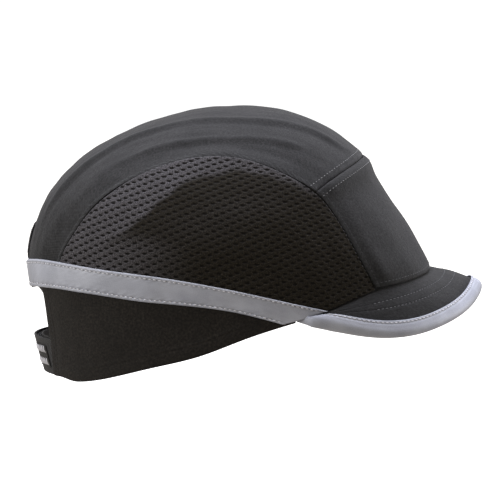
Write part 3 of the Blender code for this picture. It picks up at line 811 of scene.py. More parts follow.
def side_chart():
    """Lengths along the right side of the crown, from the level and from the middle, over x and z."""
    x = np.linspace(-0.112, 0.104, 217)
    z = np.linspace(0.0, 0.106, 107)
    y = -on_right(*np.meshgrid(x, z))[..., 1]
    step = x[1] - x[0]
    rise = np.clip(np.gradient(y, z[1] - z[0], axis=0), -4, 4)
    run = np.clip(np.gradient(y, step, axis=1), -4, 4)
    up = np.cumsum(np.hypot(1, rise), axis=0) * (z[1] - z[0])
    level = int(np.argmin(np.abs(z - 0.05)))
    along = np.cumsum(np.hypot(1, run[level])) * step
    return x, z, along, up


def chart_at(points):
    x, z, along, up = CHART
    column = np.clip((points[..., 0] - x[0]) / (x[1] - x[0]), 0, len(x) - 1.001)
    row = np.clip((points[..., 2] - z[0]) / (z[1] - z[0]), 0, len(z) - 1.001)
    i, j = row.astype(int), column.astype(int)
    a, b = row - i, column - j
    low = up[i, j] * (1 - b) + up[i, j + 1] * b
    high = up[i + 1, j] * (1 - b) + up[i + 1, j + 1] * b
    return np.stack([np.interp(points[..., 0], x, along), low * (1 - a) + high * a], -1)


CHART = side_chart()


def hole_distance(uv):
    """How far a point of the netting is from its nearest hole, where 1 is the hole's edge."""
    steps = np.array([HOLE_STEP_A, HOLE_STEP_B])
    share = uv @ np.linalg.inv(steps)
    offset = (share - np.round(share)) @ steps
    return np.hypot(offset[..., 0] / HOLE_HALF[0], offset[..., 1] / HOLE_HALF[1])


def make_mesh_panel(side, mirror, look):
    corner = arch(np.array(0.0))
    rear_azimuth = math.degrees(math.atan2(-corner[1], corner[0]))
    u = np.linspace(0, 1, 330)
    v = np.linspace(0, 1, 150)
    along = mix(0.002, 0.998, u)
    azimuth = mix(rear_azimuth, MESH_FRONT_AZIMUTH, along)
    low_edge = np.where(azimuth > SIDE_SEAM[0][0], side_seam(azimuth), hem(azimuth))
    low = ring_point(-azimuth, low_edge) - CENTRE
    high = arch(along) - CENTRE
    share = mix(0.003, 0.9999, v)[:, None, None]
    directions = unit(mix(low[None], high[None], share))
    base = crown_point(directions)
    uv = chart_at(base)
    height, from_arch = from_and_to(base)
    sag = -0.0007 * ease(from_arch, 0.004, 0.022) * ease(height, 0.0, 0.012)
    relief = seam_relief(from_arch, 0.0007) + 0.00015 * ripple(base, 0.022, 6)
    # The lighter band above its lower edge: partly the lining behind the netting, partly painted light where
    # it faces up. It is also made lighter at the low rear and along a slanting streak, and weaker toward the
    # front.
    backing = np.interp(base[..., 0], *zip(*BACKING_AND_LIGHT_EDGE))
    backing_and_painted_light = ease(base[..., 2] + 0.0010 * ripple(base, 0.02, 12) - backing, -0.0018, 0.0026)
    backing_and_painted_light = backing_and_painted_light * mix(1.0, 0.68, ease(base[..., 0], -0.030, 0.010))
    low_rear = ease(base[..., 0], -0.012, -0.072) * ease(base[..., 2], 0.061, 0.046)
    streak = bell(base[..., 2] - 0.056 - 0.35 * (base[..., 0] + 0.03), 0.010)
    streak = streak * bell(base[..., 0] + 0.010, 0.045)
    backing_and_painted_light = np.maximum(np.maximum(backing_and_painted_light, 0.90 * low_rear), 0.12 * streak)
    hole = hole_distance(uv)
    holes = -HOLE_DEPTH * mix(0.5, 1.0, backing_and_painted_light) * ease(hole, 1.35, 0.55)
    points = crown_point(directions, -(holes * ease(from_arch, 0.001, 0.003) + sag + relief))
    obj, points = surface("mesh_panel_" + side, points * mirror, look, MESH_FABRIC * 0.6,
                          "black_netting", uv=uv)
    shade = obj.data.attributes.new("backing_and_painted_light", "FLOAT", "POINT")
    shade.data.foreach_set("value", backing_and_painted_light.astype(np.float32).ravel())
    return obj, points


def make_lower_panel(side, mirror, look):
    azimuth = mix(OPENING_AZIMUTH, LOWER_PANEL_FRONT_AZIMUTH, spread(190, 2.0, 0.03))[None, :]
    low = hem(azimuth) - 0.0010 + 0.0020 * ease(azimuth, OPENING_AZIMUTH - 14, OPENING_AZIMUTH - 4)
    high = side_seam(azimuth)
    height = mix(low, high, mix(0.004, 0.996, spread(90, 2.0, 0.06))[:, None])
    base = ring_point(-azimuth, height)
    from_hem = arc_along(base, 0)
    from_rear = arc_along(base, 1)
    folded = 0
    for distance, row in ((from_hem, HEM_ROW), (from_rear, REAR_ROWS[1])):
        doubled = ease(distance, row + 0.0022, row + 0.0010) - bell(distance - row, 0.0005)
        folded = folded + 0.00022 * doubled - 0.0005 * bell(distance, 0.0008)
    uneven = 0.00032 * ripple(base, 0.040, 21) + 0.00010 * ripple(base, 0.016, 22)
    uneven = uneven * ease(from_hem, 0.0, 0.012)
    pull = 0.00006 * np.sin(from_rear * 2 * math.pi / 0.0085) * bell(from_hem - 0.008, 0.005)
    points = crown_point(base - CENTRE, -(folded + uneven + pull))
    return surface("lower_panel_" + side, points * mirror, look, FABRIC, "black_twill")


def tape_point(share, v, lift):
    """The tape from its right end (0) over the rear to its left end (1); v runs up its width."""
    end = mix(TAPE_LOW_EDGE[1][0], TAPE_TOP_EDGE[0][0], v)
    azimuth = mix(end, 360 - end, share)
    height = mix(tape_low(azimuth), tape_top(azimuth), v)
    return ring_point(-azimuth, height, -(GAP + TAPE + lift))


def make_reflective_tape(look):
    v = spread(34, 3.0, 0.10)[:, None]
    share = np.linspace(0, 1, 420)[None, :]
    base = tape_point(share, v, 0.0)
    height, from_top = from_and_to(base)
    fold = 0.00030 * ease(from_top, 0.0022, 0.0012) + 0.00026 * ease(height, 0.0020, 0.0011)
    pucker = 0.00012 * np.sin(arc_along(base, 1) * 2 * math.pi / 0.0054)
    lift = fold + 0.0002 * ripple(base, 0.024, 31)
    for distance, row in ((height, TAPE_ROWS[0] + 0.0001), (from_top, TAPE_ROWS[1] + 0.0001)):
        rolled = -0.0004 * bell(distance, 0.0005) - 0.00025 * bell(distance - row, 0.0005)
        lift = lift + rolled + pucker * bell(distance - row, 0.002)
    return surface("reflective_tape", tape_point(share, v, lift), look, TAPE, "grey_reflective")


def make_rear_patch(look):
    u = np.linspace(-PATCH_AZIMUTH, PATCH_AZIMUTH, 50)[None, :] + 180
    v = np.linspace(0, 1, 50)[:, None]
    base = ring_point(u, mix(*PATCH_HEIGHTS, v))
    edge = np.minimum(to_ends(base, 0), to_ends(base, 1))
    lift = GAP + 0.0002 + 0.0004 * ease(edge, 0.0, 0.003) - 0.0002 * bell(edge - 0.0022, 0.0006)
    return surface("rear_patch", crown_point(base - CENTRE, -lift), look, TAPE, "black_twill")


def make_arch_seam_tape(side, mirror, look):
    share = np.linspace(0.07, share_at(SEAM_TAPE_FRONT_END), 160)
    seam = arch(share)
    tangent = unit(arch(share + 0.01) - arch(share - 0.01))
    across = unit(np.cross(tangent, crown_normal(unit(seam - CENTRE))))
    v = np.linspace(-0.5, 0.5, 9)[:, None, None]
    shifted = seam[None] + across[None] * SEAM_TAPE_WIDTH * v
    bulge = 0.0002 * bell(np.abs(v[..., 0]) - 0.25, 0.1) * np.ones(len(share))
    points = crown_point(shifted - CENTRE, MESH_FABRIC + GAP + bulge) * mirror
    return surface("arch_seam_tape_" + side, points, look, SEAM_TAPE, "black_ribbon")[0]


def make_front_seam_tape(look):
    half = math.degrees(SEAM_TAPE_WIDTH / 2 / NOMINAL_RADIUS)
    angle = FRONT_SEAM_ANGLE + np.linspace(-half, half, 9)[:, None]
    side = arch(np.array(FRONT_SEAM_SHARE))
    directions = over_crown(side, angle, np.linspace(-0.98, 0.98, 110)[None, :])
    points = crown_point(directions, FABRIC + GAP)
    return surface("front_seam_tape", points, look, SEAM_TAPE, "black_ribbon")[0]


def make_opening_binding(look):
    edge = [(157.4, -0.0262), (157.2, -0.0050), (157.2, 0.0090), (159.5, 0.0185), (167.0, 0.0222),
            (180, 0.0205)]
    away = [(153.4, -0.0262), (153.2, -0.0050), (153.2, 0.0120), (156.5, 0.0245), (166.0, 0.0290),
            (180, 0.0205 + OPENING_BINDING_WIDTH)]
    curves = []
    for side in (edge, away):
        whole = side + [(360 - azimuth, height) for azimuth, height in reversed(side[:-1])]
        curves.append(chord_spline([(math.radians(azimuth) * NOMINAL_RADIUS, height)
                                    for azimuth, height in whole]))
    u = np.linspace(0, 1, 150)
    v = np.linspace(0, 1, 7)[:, None, None]
    placed = mix(curves[0](u)[None], curves[1](u)[None], v)
    points = ring_point(np.degrees(placed[..., 0] / NOMINAL_RADIUS), placed[..., 1], FABRIC + GAP)
    return surface("opening_binding", points, look, SEAM_TAPE, "black_ribbon")[0]


def make_sweatband(look):
    azimuth = np.linspace(-SWEATBAND_END, SWEATBAND_END, 260)[None, :]
    v = np.linspace(0, 1, 44)[:, None]
    height = hem(azimuth) + mix(0.0012, SWEATBAND_HEIGHT, v)
    base = ring_point(azimuth, height)
    edge = to_ends(base, 0)
    dip = 0.00015 * (bell(edge - 0.0022, 0.0007) + bell(edge, 0.0012))
    dip = dip + 0.00006 * (1 + ripple(base, 0.012, 41))
    points = crown_point(base - CENTRE, MESH_FABRIC + GAP + dip)
    return surface("sweatband", points, look, SWEATBAND - 0.0002, "black_sweatband", rounding=0.0004)


# ---- Brim ----

brim_outside = chord_spline(BRIM_EDGE + [(x, -y, z) for x, y, z in reversed(BRIM_EDGE[:-1])])


def brim_ends(s):
    azimuth = mix(-BRIM_END_AZIMUTH, BRIM_END_AZIMUTH, s)
    return ring_point(azimuth, hem(azimuth) - BRIM_DROP), brim_outside(s)


def brim_middle(s, inward):
    """The brim's middle surface; inward is in metres up to the binding's width, then 1 at the root."""
    root, edge = brim_ends(s)
    width = np.linalg.norm(edge - root, axis=-1)
    bound = np.minimum(1.0, (width - 0.0006) / BINDING_WIDTH)
    under_binding = 1 - inward * bound / width
    at_binding = 1 - np.minimum(BINDING_WIDTH, width - 0.0006) / width
    beyond = at_binding * (1 - (inward - BINDING_WIDTH) / (1 - BINDING_WIDTH))
    share = np.where(inward <= BINDING_WIDTH, under_binding, beyond)[..., None]
    return mix(root, edge, share) + np.array([0, 0, 1.0]) * BRIM_ARCH * 4 * share * (1 - share)


def brim_upward(s, inward):
    s = np.clip(s, 0.0, 1.0)
    along = brim_middle(s + 0.004, inward) - brim_middle(s - 0.004, inward)
    root, edge = brim_ends(s)
    return unit(np.cross(edge - root, along))


def brim_point(s, inward, lift):
    s, inward, lift = np.broadcast_arrays(s, inward, lift)
    return brim_middle(s, inward) + brim_upward(s, inward) * lift[..., None]


BRIM_COVER_TOP = BRIM_BOARD / 2 + BRIM_GAP + BRIM_FABRIC
BRIM_ROWS = (0.40, 0.63)  # rows of stitches across the brim, as shares from binding to root
# Where a cover's root meets the crown and then runs up inside it: height over the hem, depth.
BRIM_ROOTS = {1: ((-0.0010, 0.0002), (-0.0008, 0.0008), (0.0002, 0.0016), (0.0028, 0.0019)),
              -1: ((-0.0046, 0.0002), (-0.0044, 0.0014), (-0.0032, 0.0028), (-0.0012, 0.0036))}
BRIM_SHARES = spread(64, 1.0, 0.1)
BINDING_SHARE = 0.12  # the share of a cover's rows that the binding covers
BINDING_COLUMNS = np.linspace(-0.032, 1.032, 340)


def make_brim_cover(name, side, look):
    """The cloth over (side 1) or under (side -1) the board, quilted by rows and tucked under the hem."""
    s = np.linspace(0.002, 0.998, 280)[None, :]
    share = BRIM_SHARES[:, None]
    beyond = np.clip((share - BINDING_SHARE) / (1 - BINDING_SHARE), 0, 1)
    inward = np.where(share < BINDING_SHARE, mix(BRIM_LAYERS_END, BINDING_WIDTH, share / BINDING_SHARE),
                      mix(BINDING_WIDTH, 1.0, beyond))
    rows = sum(bell(beyond - row, 0.022) for row in BRIM_ROWS)
    base = brim_point(s, inward, 0.0)
    swell = 0.00010 * ripple(base, 0.018, 51) + 0.00022 * np.sin(beyond * math.pi)
    height = BRIM_COVER_TOP + np.maximum(swell - 0.00022 * rows, -0.0002)
    height = height * (1 - 0.7 * ease(np.abs(s - 0.5), 0.480, 0.500))
    points = brim_point(s, inward, side * height)
    azimuth = mix(-BRIM_END_AZIMUTH, BRIM_END_AZIMUTH, s[0])
    root, *tucked = (ring_point(azimuth, hem(azimuth) + lift, depth) for lift, depth in BRIM_ROOTS[side])
    points = points + (root - points[-1])[None] * (beyond ** 2.5)[..., None]
    whole = np.concatenate([points, np.stack(tucked)])
    inside = np.array([0.05, 0.0, -1.0 * side])
    obj, _ = surface(name, whole, look, BRIM_FABRIC, "black_twill", inside=inside)
    return obj, points


def make_binding(look):
    """The tape folded over the brim's edge: a rounded edge with a hemmed strip above and below."""
    top = BRIM_COVER_TOP + BRIM_GAP + BINDING
    low = top + UNDER_SLACK + 0.0006
    turns = np.radians(np.linspace(90, -90, 15))
    reach = np.where(turns >= 0, top, low)
    nose = np.stack([0.0030 - 0.0028 * np.cos(turns), reach * np.sin(turns)], -1)
    strip = np.linspace(0, 1, 10)
    swell = 0.00018 * np.sin(strip * math.pi)
    above = np.stack([mix(BINDING_WIDTH, 0.0034, strip), top + swell], -1)
    below = np.stack([mix(0.0034, BINDING_WIDTH, strip), -low - swell], -1)
    outline = np.concatenate([above, nose, below])
    s = BINDING_COLUMNS[None, :]
    fuller = mix(-0.0012, 0.0020, ease(np.abs(s - 0.5), 0.05, 0.30))
    fuller = fuller * ease(-outline[:, 1:], 0.0, low)
    beyond = np.clip(np.abs(s - 0.5) - 0.5, 0, None) / 0.032
    tuck = ease(np.abs(s - 0.5), 0.455, 0.515)
    kept = np.clip(s, 0.0, 1.0)
    edge = 0.00025 * (bell(outline[:, :1] - BINDING_WIDTH, 0.0007) - bell(outline[:, :1] - 0.0056, 0.0005))
    lift = (outline[:, 1:] + edge * np.sign(outline[:, 1:]) - fuller)
    lift = lift * np.where(lift > 0, 1 - 0.75 * ease(np.abs(s - 0.5), 0.488, 0.525), 1 - 0.70 * tuck)
    inward = np.sign(0.5 - s)[..., None] * np.array([0.0, 0.0036, 0.0])
    pull = beyond[..., None] * (inward + np.array([-0.0080, 0.0, 0.0022]))
    points = brim_point(kept, outline[:, :1], lift) + pull
    middle = brim_middle(np.broadcast_to(kept, lift.shape), np.full(lift.shape, 0.0035))
    obj, _ = surface("brim_binding", points, look, BINDING, "grey_reflective")
    face_away(obj, points - middle - pull)
    return obj, points


# ---- Rear strap ----

STRAP_AXIS = np.array([STRAP_AXIS_X, 0.0, STRAP_MIDDLE])


def strap_point(angle, height, depth):
    angle, height, depth = np.broadcast_arrays(angle, height, depth)
    radius = STRAP_RADIUS + (height - STRAP_MIDDLE) * STRAP_LEAN - depth
    turn = np.radians(angle)
    return np.stack([STRAP_AXIS_X - radius * np.cos(turn), radius * np.sin(turn), height], -1)


def strap_piece(node, start, end, depth, thickness, look, slot=None, body="cover", margin=0.0):
    low = STRAP_MIDDLE - STRAP_HEIGHT / 2 + margin
    high = STRAP_MIDDLE + STRAP_HEIGHT / 2 - margin
    columns = max(12, round(abs(end - start) * 1.6))
    angle = np.linspace(start, end, columns)[None, :]
    height = np.linspace(low, high, 30)[:, None]
    points = strap_point(angle, height, depth)
    return surface(node, points, look, thickness, slot, body, STRAP_AXIS, rounding=thickness * 0.3)


def make_label_marks(look):
    """A generic woven ornament on the label: two rows of slanted ticks."""
    marks = Stitches()
    depth = -(STRAP_GAP + LABEL) - 0.00010
    for height in (0.0040, -0.0030):
        angle = np.linspace(-27.0, -15.4, 6)
        first, last = (strap_point(angle + 0.4 * side, STRAP_MIDDLE + height + 0.0020 * side, depth)
                       for side in (-1, 1))
        turn = np.radians(angle)
        upward = np.stack([-np.cos(turn), np.sin(turn), 0 * turn], -1)
        length = float(np.linalg.norm(last - first, axis=-1).mean())
        marks.add((first + last) / 2, unit(last - first), upward, length, 0.0011)
    marks.make("label_pattern", look, "label_weave", "strap_outer")


def make_strap(webbing, hook, loop, label):
    hook_depth = WEBBING + STRAP_GAP
    loop_depth = hook_depth + HOOK_AND_LOOP + STRAP_GAP
    inner_depth = loop_depth + HOOK_AND_LOOP + STRAP_GAP
    for piece in (
            ("strap_inner_half", INNER_END, STRAP_END, inner_depth, WEBBING, webbing, "black_webbing"),
            ("loop_patch", INNER_END + 1, LOOP_END, loop_depth, HOOK_AND_LOOP, loop, "loop_tape",
             "cover", 0.001),
            ("hook_patch", -12.0, STRAP_FOLD - 0.6, hook_depth, HOOK_AND_LOOP, hook, "hook_tape",
             "strap_outer", 0.001),
            ("strap_label", -29.0, -13.0, -(STRAP_GAP + LABEL), LABEL, label, "label_weave",
             "strap_outer", 0.004)):
        declare_sheet(*strap_piece(*piece))
    tab_hook, _ = strap_piece("tab_hook_patch", STRAP_FOLD + 0.8, TAB_END - 1.5, hook_depth,
                              HOOK_AND_LOOP, hook, "hook_tape", "strap_end", 0.001)
    outer, points = strap_piece("strap_outer", -STRAP_END, TAB_END, 0.0, WEBBING, webbing)
    apply_modifiers(outer)
    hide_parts("strap_outer_half", "strap_tab")
    before, after = (Vector(strap_point(STRAP_FOLD + turn, STRAP_MIDDLE, 0.0)) for turn in (-1.2, 1.2))
    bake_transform(outer)
    declare_sheet(outer, points, with_pieces=[tab_hook])


# ---- Insert ----

def inset_at(elevation):
    return mix(INSET_AT_RIM, INSET_AT_TOP, ease(elevation, 0.0, 60.0))


def insert_point(azimuth, elevation, depth=0.0):
    azimuth, elevation = np.broadcast_arrays(azimuth, elevation)
    return crown_point(polar(azimuth, elevation), inset_at(elevation) + depth)


def shell_ribs(points):
    """Heights of the shell's raised middle and of the lower step at each side of it."""
    x = points[..., 0]
    off_centre = np.abs(points[..., 1])
    middle = 0.0006 * ease(off_centre, RIB_CREST + 0.003, RIB_CREST)
    middle = middle * ease(x, -0.088, -0.070) * ease(x, 0.090, 0.070)
    sides = 0.0005 * ease(off_centre, OUTER_RIB_CREST + 0.003, OUTER_RIB_CREST)
    return middle + sides * outer_rib_fade(x)


def make_shell(look):
    """The shell as a dense polar grid with a closed top, vents cut through it and raised ribs."""
    azimuth = np.linspace(0, 360, 240, endpoint=False)[None, :]
    rim = elevation_at(azimuth, shell_rim(azimuth))
    share = np.linspace(0, 0.985, 90)[:, None]
    elevation = mix(rim, 90.0, share)
    base = insert_point(azimuth, elevation)
    rolled = 0.0006 * bell(share, 0.012)
    points = insert_point(azimuth, elevation, rolled - shell_ribs(base))
    rows, columns = points.shape[:2]
    index = np.arange(rows * columns).reshape(rows, columns)
    around = np.roll(index, -1, axis=1)
    quads = np.stack([index[:-1], around[:-1], around[1:], index[1:]], -1).reshape(-1, 4).tolist()
    top = insert_point(np.array(0.0), np.array(89.9))
    flat = np.concatenate([points.reshape(-1, 3), top[None]])
    quads.extend([index[-1, k], around[-1, k], rows * columns] for k in range(columns))
    obj = new_mesh("hard_shell_detail", flat, quads, look)
    face_away(obj, flat - CENTRE)
    thicken(obj, SHELL)
    cutters = [vent_cutter(side * azimuth) for side in (-1, 1) for azimuth in VENT_AZIMUTHS]
    for cutter in cutters:
        vent = obj.modifiers.new("vent", "BOOLEAN")
        vent.operation = "DIFFERENCE"
        vent.object = cutter
    apply_modifiers(obj)
    for cutter in cutters:
        bpy.data.objects.remove(cutter, do_unlink=True)
    obj.data.set_sharp_from_angle(angle=math.radians(45))
    finish_piece(obj, "insert", "hard_shell")


def vent_cutter(azimuth):
    work = bmesh.new()
    bmesh.ops.create_cone(work, cap_ends=True, segments=24, radius1=VENT_WIDTH / 2,
                          radius2=VENT_WIDTH / 2, depth=0.016)
    for vert in work.verts:
        vert.co.y += math.copysign((VENT_LENGTH - VENT_WIDTH) / 2, vert.co.y + 1e-5)
    obj = new_mesh("vent_cutter", [], [], None)
    work.to_mesh(obj.data)
    work.free()
    direction = polar(azimuth, VENT_ELEVATION)
    outward = Vector(crown_normal(direction))
    upward = (Vector((0, 0, 1)) - outward * outward.z).normalized()
    turn = Matrix((upward.cross(outward), upward, outward)).transposed().to_4x4()
    obj.matrix_world = Matrix.Translation(insert_point(azimuth, VENT_ELEVATION)) @ turn
    obj.hide_render = True
    return obj


def apply_modifiers(obj):
    bpy.context.view_layer.update()
    evaluated = obj.evaluated_get(bpy.context.evaluated_depsgraph_get())
    made = bpy.data.meshes.new_from_object(evaluated)
    obj.modifiers.clear()
    obj.data = made


def pillow(node, directions, inset, look):
    """A foam pad with its back on the shell and a rounded face that tapers at the edges."""
    back_depth = inset + SHELL + FOAM_GAP
    back = crown_point(directions, back_depth)
    edge = np.minimum(to_ends(back, 0), to_ends(back, 1))
    full = np.sqrt(np.clip(1 - (1 - np.clip(edge / 0.0042, 0, 1)) ** 2, 0, 1))
    channel = 0.0007 * bell(edge - 0.0085, 0.0010)
    thickness = np.maximum(mix(FOAM_EDGE, FOAM, full) - channel, 0.0012)
    face = crown_point(directions, back_depth + thickness)
    rows, columns = back.shape[:2]
    size = rows * columns
    outer = grid_quads(back, CENTRE)
    inner = outer[:, ::-1] + size
    index = np.arange(size).reshape(rows, columns)
    loop = np.concatenate([index[0, :-1], index[:-1, -1], index[-1, :0:-1], index[:0:-1, 0]])
    rim = np.stack([loop, np.roll(loop, -1), np.roll(loop, -1) + size, loop + size], -1)
    points = np.concatenate([back.reshape(-1, 3), face.reshape(-1, 3)])
    uv = cloth_axes(back).reshape(-1, 2)
    obj = new_mesh(node + "_detail", points, np.concatenate([outer, inner, rim]), look,
                   np.concatenate([uv, uv]))
    face_outward(obj)
    finish_piece(obj, "insert", node)


def make_pads(look):
    boxes = {"front_pad": (-36, 36, 9, 44), "rear_pad": (144, 216, 4, 38),
             "side_pad_right": (-132, -48, 3, 13), "side_pad_left": (48, 132, 3, 13)}
    for node, (start, end, low, high) in boxes.items():
        azimuth = mix(start, end, spread(110, 3.0, 0.05))[None, :]
        elevation = mix(low, high, spread(60, 3.0, 0.08))[:, None]
        directions = polar(azimuth, elevation)
        pillow(node, directions, inset_at(elevation) * np.ones_like(azimuth), look)
    forward = np.radians(mix(52.0, 134.0, spread(110, 3.0, 0.05)))[:, None]
    swing = np.radians(mix(-17.0, 17.0, spread(60, 3.0, 0.08)))[None, :]
    directions = np.stack(np.broadcast_arrays(np.cos(forward) * np.cos(swing), np.sin(swing),
                                              np.sin(forward) * np.cos(swing)), -1)
    inset = inset_at(np.degrees(np.arcsin(directions[..., 2])))
    pillow("crown_pad", directions, inset, look)


# ---- Stitching ----

def row_at(points, row):
    """The path along a grid at a row, which may lie between two of them."""
    row = np.broadcast_to(row, points.shape[1])
    low = np.clip(np.floor(row).astype(int), 0, points.shape[0] - 2)
    columns = np.arange(points.shape[1])
    return mix(points[low, columns], points[low + 1, columns], (row - low)[:, None])


def inset_path(points, distance, side):
    """The path on a grid of points at a distance from one side: bottom, top, left or right."""
    if side in ("left", "right"):
        points = points.transpose(1, 0, 2)
    if side in ("top", "right"):
        points = points[::-1]
    lengths = arc_along(points, 0)
    rows = [np.interp(distance, lengths[:, k], np.arange(len(lengths))) for k in range(lengths.shape[1])]
    return row_at(points, np.array(rows))


def sew(stitches, points, distance, side, kept=(0.0, 1.0), **settings):
    """A row on a panel at a distance from one side, for a kept part of the side's length."""
    path = inset_path(points, distance, side)
    path = path[int(kept[0] * len(path)):max(2, int(kept[1] * len(path)))]
    stitches.row(path, crown_normal(unit(path - CENTRE)), **settings)


def brim_path(points, row, s, upside, ends):
    """The path between grid rows of a brim piece, less some columns at both ends, and its normals."""
    normals = brim_upward(s, np.full(len(s), 0.5)) * upside
    return row_at(points, row)[ends:-ends], normals[ends:-ends]


def make_stitching(cloths, dark, grey, pale, silver, shadow):
    """Every row of stitches, laid on the finished surfaces, and dark beads of painted shade at the trim's
    needle holes.
    """
    black, felled, quilting, edging, trim, needle = (Stitches() for _ in range(6))
    for side in ("left", "right"):
        for panel in ("top", "front"):
            sew(black, cloths[panel], TOPSTITCH, side, width=0.00034, length=0.0012, pitch=0.0022)
    for panel, side in (("top", "top"), ("front", "bottom")):
        sew(felled, cloths[panel], FRONT_TOPSTITCH, side, (0.01, 0.99),
            width=0.00040, length=0.0012, pitch=0.0025)
    sew(black, cloths["front"], 0.0026, "top", (0.02, 0.98), width=0.00034, lift=-0.00010)
    for side in ("right", "left"):
        sew(edging, cloths["mesh_" + side], 0.0011, "top", (0.03, 0.97), width=0.00034, length=0.0010)
        panel = cloths["lower_" + side]
        sew(black, panel, HEM_ROW, "bottom", (0.06, 0.98), width=0.00032, lift=-0.00022)
        for distance in REAR_ROWS:
            sew(black, panel, distance, "left", (0.04, 0.97), width=0.00034, length=0.0014, pitch=0.0021)
    for cover, upside in (("brim_top", 1), ("brim_under", -1)):
        points = cloths[cover]
        s = np.linspace(0.01, 0.99, points.shape[1])
        for share in BRIM_ROWS:
            row = np.interp(mix(BINDING_SHARE, 1.0, share), BRIM_SHARES, np.arange(points.shape[0]))
            path = brim_path(points, row, s, upside, 40)
            quilting.row(*path, width=0.00042, length=0.0015, pitch=0.0026, lift=0.00008)
    for side, distance in zip(("bottom", "top"), TAPE_ROWS):
        path = inset_path(cloths["tape"], distance, side)[3:-3]
        normals = crown_normal(unit(path - CENTRE))
        trim.row(path, normals, width=0.00060, length=0.0018, lift=0.00004)
        # Dark sunken beads under each trim stitch and longer than it: painted shade in its needle holes.
        needle.row(path, normals, width=0.00062, length=0.0026, lift=-0.00016)
    binding = cloths["binding"]
    for row, upside in ((2.4, 1), (len(binding) - 3.4, -1)):
        path = brim_path(binding, row, BINDING_COLUMNS, upside, 22)
        trim.row(*path, width=0.00055, length=0.0018, lift=0.00004)
        # Dark sunken beads under each stitch: painted shade in its needle holes.
        needle.row(*path, width=0.00056, length=0.0026, lift=-0.00014)
    # The front seam's, brim's and netting's rows use thread with painted highlight.
    felled.make("front_seam_stitches", pale, "black_twill")
    quilting.make("brim_stitches", grey, "black_twill")
    edging.make("netting_stitches", grey, "black_netting")
    black.make("cloth_stitches", dark, "black_twill")
    trim.make("trim_stitches", silver, "grey_reflective")
    needle.make("trim_needle_hole_shade", shadow, "grey_reflective")


# ---- Stage ----

def place_and_aim(obj, place, target):
    obj.location = place
    obj.rotation_euler = (Vector(target) - Vector(place)).to_track_quat("-Z", "Y").to_euler()
    bpy.context.scene.collection.objects.link(obj)


def make_stage():
    """A white floor and world as the camera sees them, and soft light from above and both ends."""
    look = Look("floor_paint", 0.9, specular=0.1)
    look.colour((0.86,) * 3)
    look.shader.inputs["Emission Color"].default_value = (1, 1, 1, 1)
    look.shader.inputs["Emission Strength"].default_value = 1.0
    corners = [(-6, -6, FLOOR), (6, -6, FLOOR), (6, 6, FLOOR), (-6, 6, FLOOR)]
    floor = new_mesh("floor", corners, [(0, 1, 2, 3)], look.material)
    floor.data.shade_flat()
    floor.visible_diffuse = False
    floor.visible_glossy = False

    world = bpy.data.worlds.new("studio")
    bpy.context.scene.world = world
    world.use_nodes = True
    nodes = world.node_tree.nodes
    link = world.node_tree.links.new
    seen = nodes.new("ShaderNodeLightPath").outputs["Is Camera Ray"]
    tint = nodes.new("ShaderNodeMix")
    tint.data_type = "RGBA"
    tint.inputs[6].default_value = (0.475, 0.440, 0.395, 1)
    tint.inputs[7].default_value = (1.1, 1.1, 1.1, 1)
    link(seen, tint.inputs[0])
    link(tint.outputs[2], nodes["Background"].inputs["Color"])

    lights = {"overhead": ((0.05, 0.25, 1.3), 1.6, 48, (0.94, 0.97, 1.10)),
              "rear_left": ((-1.3, -0.40, 0.25), 0.9, 9.5, (1, 1, 1)),
              "front_right": ((1.3, 0.30, 0.10), 0.9, 9, (0.97, 0.98, 1.03))}
    for name, (place, size, power, colour) in lights.items():
        lamp = bpy.data.lights.new(name, "AREA")
        lamp.size = size
        lamp.energy = power
        lamp.color = colour
        place_and_aim(bpy.data.objects.new(name, lamp), place, (0, 0, 0.04))


def make_camera():
    """A long lens that looks at the right side from 1.8 m, a little above level."""
    target = Vector((0.0123, 0.0, 0.0394))
    elevation = math.radians(5.5)
    distance = 1.8
    data = bpy.data.cameras.new("camera")
    data.lens = 231.4
    data.sensor_width = 36.0
    camera = bpy.data.objects.new("camera", data)
    away = Vector((0, -math.cos(elevation), math.sin(elevation))) * distance
    place_and_aim(camera, target + away, target)
    bpy.context.scene.camera = camera


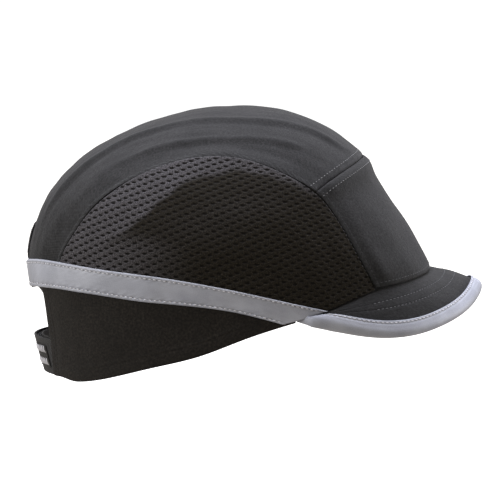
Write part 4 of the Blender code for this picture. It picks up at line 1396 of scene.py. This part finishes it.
def main():
    bpy.context.scene.view_settings.view_transform = "Standard"
    twill = twill_look("black_twill_cloth", (0.0034,) * 3, (0.0275, 0.0263, 0.0270))
    side_twill = twill_look("black_twill_side", (0.0030, 0.0024, 0.0018), (0.0240, 0.0200, 0.0165), 0.05)
    # The brim's twill is darker than the crown's: painted shade, for the crown's shade over the brim.
    shaded_brim_twill = twill_look("black_twill_brim_painted_shade", (0.0028,) * 3, (0.0250, 0.0243, 0.0254))
    netting = netting_look("black_netting_cloth")
    reflective = reflective_look("reflective_tape_film")
    ribbon = ribbon_look("black_ribbon_weave", (0.016, 0.016, 0.017), (0.036, 0.036, 0.039))
    webbing = webbing_look("black_webbing_weave", (0.009, 0.009, 0.010), (0.034, 0.034, 0.036))
    towelling = pile_look("towelling", (0.012, 0.012, 0.013), (0.060, 0.060, 0.064), 0.0011, 0.0004)
    loops = pile_look("loop_pile", (0.010, 0.010, 0.011), (0.045, 0.045, 0.048), 0.0007, 0.0004)
    hooks = pile_look("hook_field", (0.008, 0.008, 0.009), (0.060, 0.060, 0.064), 0.0010, 0.0005, 0.6)
    label = ribbon_look("label_satin", (0.014,) * 3, (0.030,) * 3, 0.0004)
    plastic = plastic_look("shell_abs", (0.030, 0.030, 0.033), (0.042, 0.042, 0.046))
    board = plastic_look("brim_board_plastic", (0.080, 0.080, 0.088), (0.11, 0.11, 0.12), 0.5)
    foam = foam_look("foam_cells")
    dark = thread_look("black_thread", (0.008,) * 3, (0.030, 0.030, 0.031))
    # The grey and pale threads are dark thread with its highlight painted in: painted highlight on the
    # brim's, netting's and front seam's stitches.
    grey = thread_look("grey_thread_painted_highlight", (0.045, 0.045, 0.048), (0.110, 0.110, 0.118))
    pale = thread_look("pale_thread_painted_glint", (0.10,) * 3, (0.22,) * 3)
    silver = thread_look("silver_thread", (0.48, 0.48, 0.52), (0.72, 0.72, 0.76))
    white = thread_look("white_thread", (0.50, 0.50, 0.54), (0.72, 0.72, 0.77))
    # Painted shade for the needle holes of the trim's stitches.
    shadow = thread_look("needle_hole_shade", (0.030, 0.030, 0.034), (0.080, 0.080, 0.088))

    cloths = {}
    top_panel, cloths["top"] = make_top_panel(twill)
    front_panel, cloths["front"] = make_front_panel(twill)
    tapes = []
    for side, mirror in (("right", (1, 1, 1)), ("left", (1, -1, 1))):
        for name, make_panel, look in (("mesh_", make_mesh_panel, netting),
                                       ("lower_", make_lower_panel, side_twill)):
            panel, cloths[name + side] = make_panel(side, mirror, look)
            declare_sheet(panel, cloths[name + side])
        tapes.append(make_arch_seam_tape(side, mirror, ribbon))
    tapes.append(make_opening_binding(ribbon))
    declare_sheet(top_panel, cloths["top"], with_pieces=tapes)
    declare_sheet(front_panel, cloths["front"], with_pieces=[make_front_seam_tape(ribbon)])
    declare_sheet(*make_rear_patch(twill))
    declare_sheet(*make_sweatband(towelling))
    for name, (piece, points) in (("tape", make_reflective_tape(reflective)),
                                  ("brim_top", make_brim_cover("brim_top_cover", 1, shaded_brim_twill)),
                                  ("brim_under", make_brim_cover("brim_under_cover", -1, shaded_brim_twill)),
                                  ("binding", make_binding(reflective))):
        cloths[name] = points
        declare_sheet(piece, points)
    make_strap(webbing, hooks, loops, label)
    make_label_marks(white)
    make_shell(plastic)
    make_pads(foam)
    make_stitching(cloths, dark, grey, pale, silver, shadow)
    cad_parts["brim_board"].data.materials.clear()
    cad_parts["brim_board"].data.materials.append(board)
    make_stage()
    make_camera()


main()
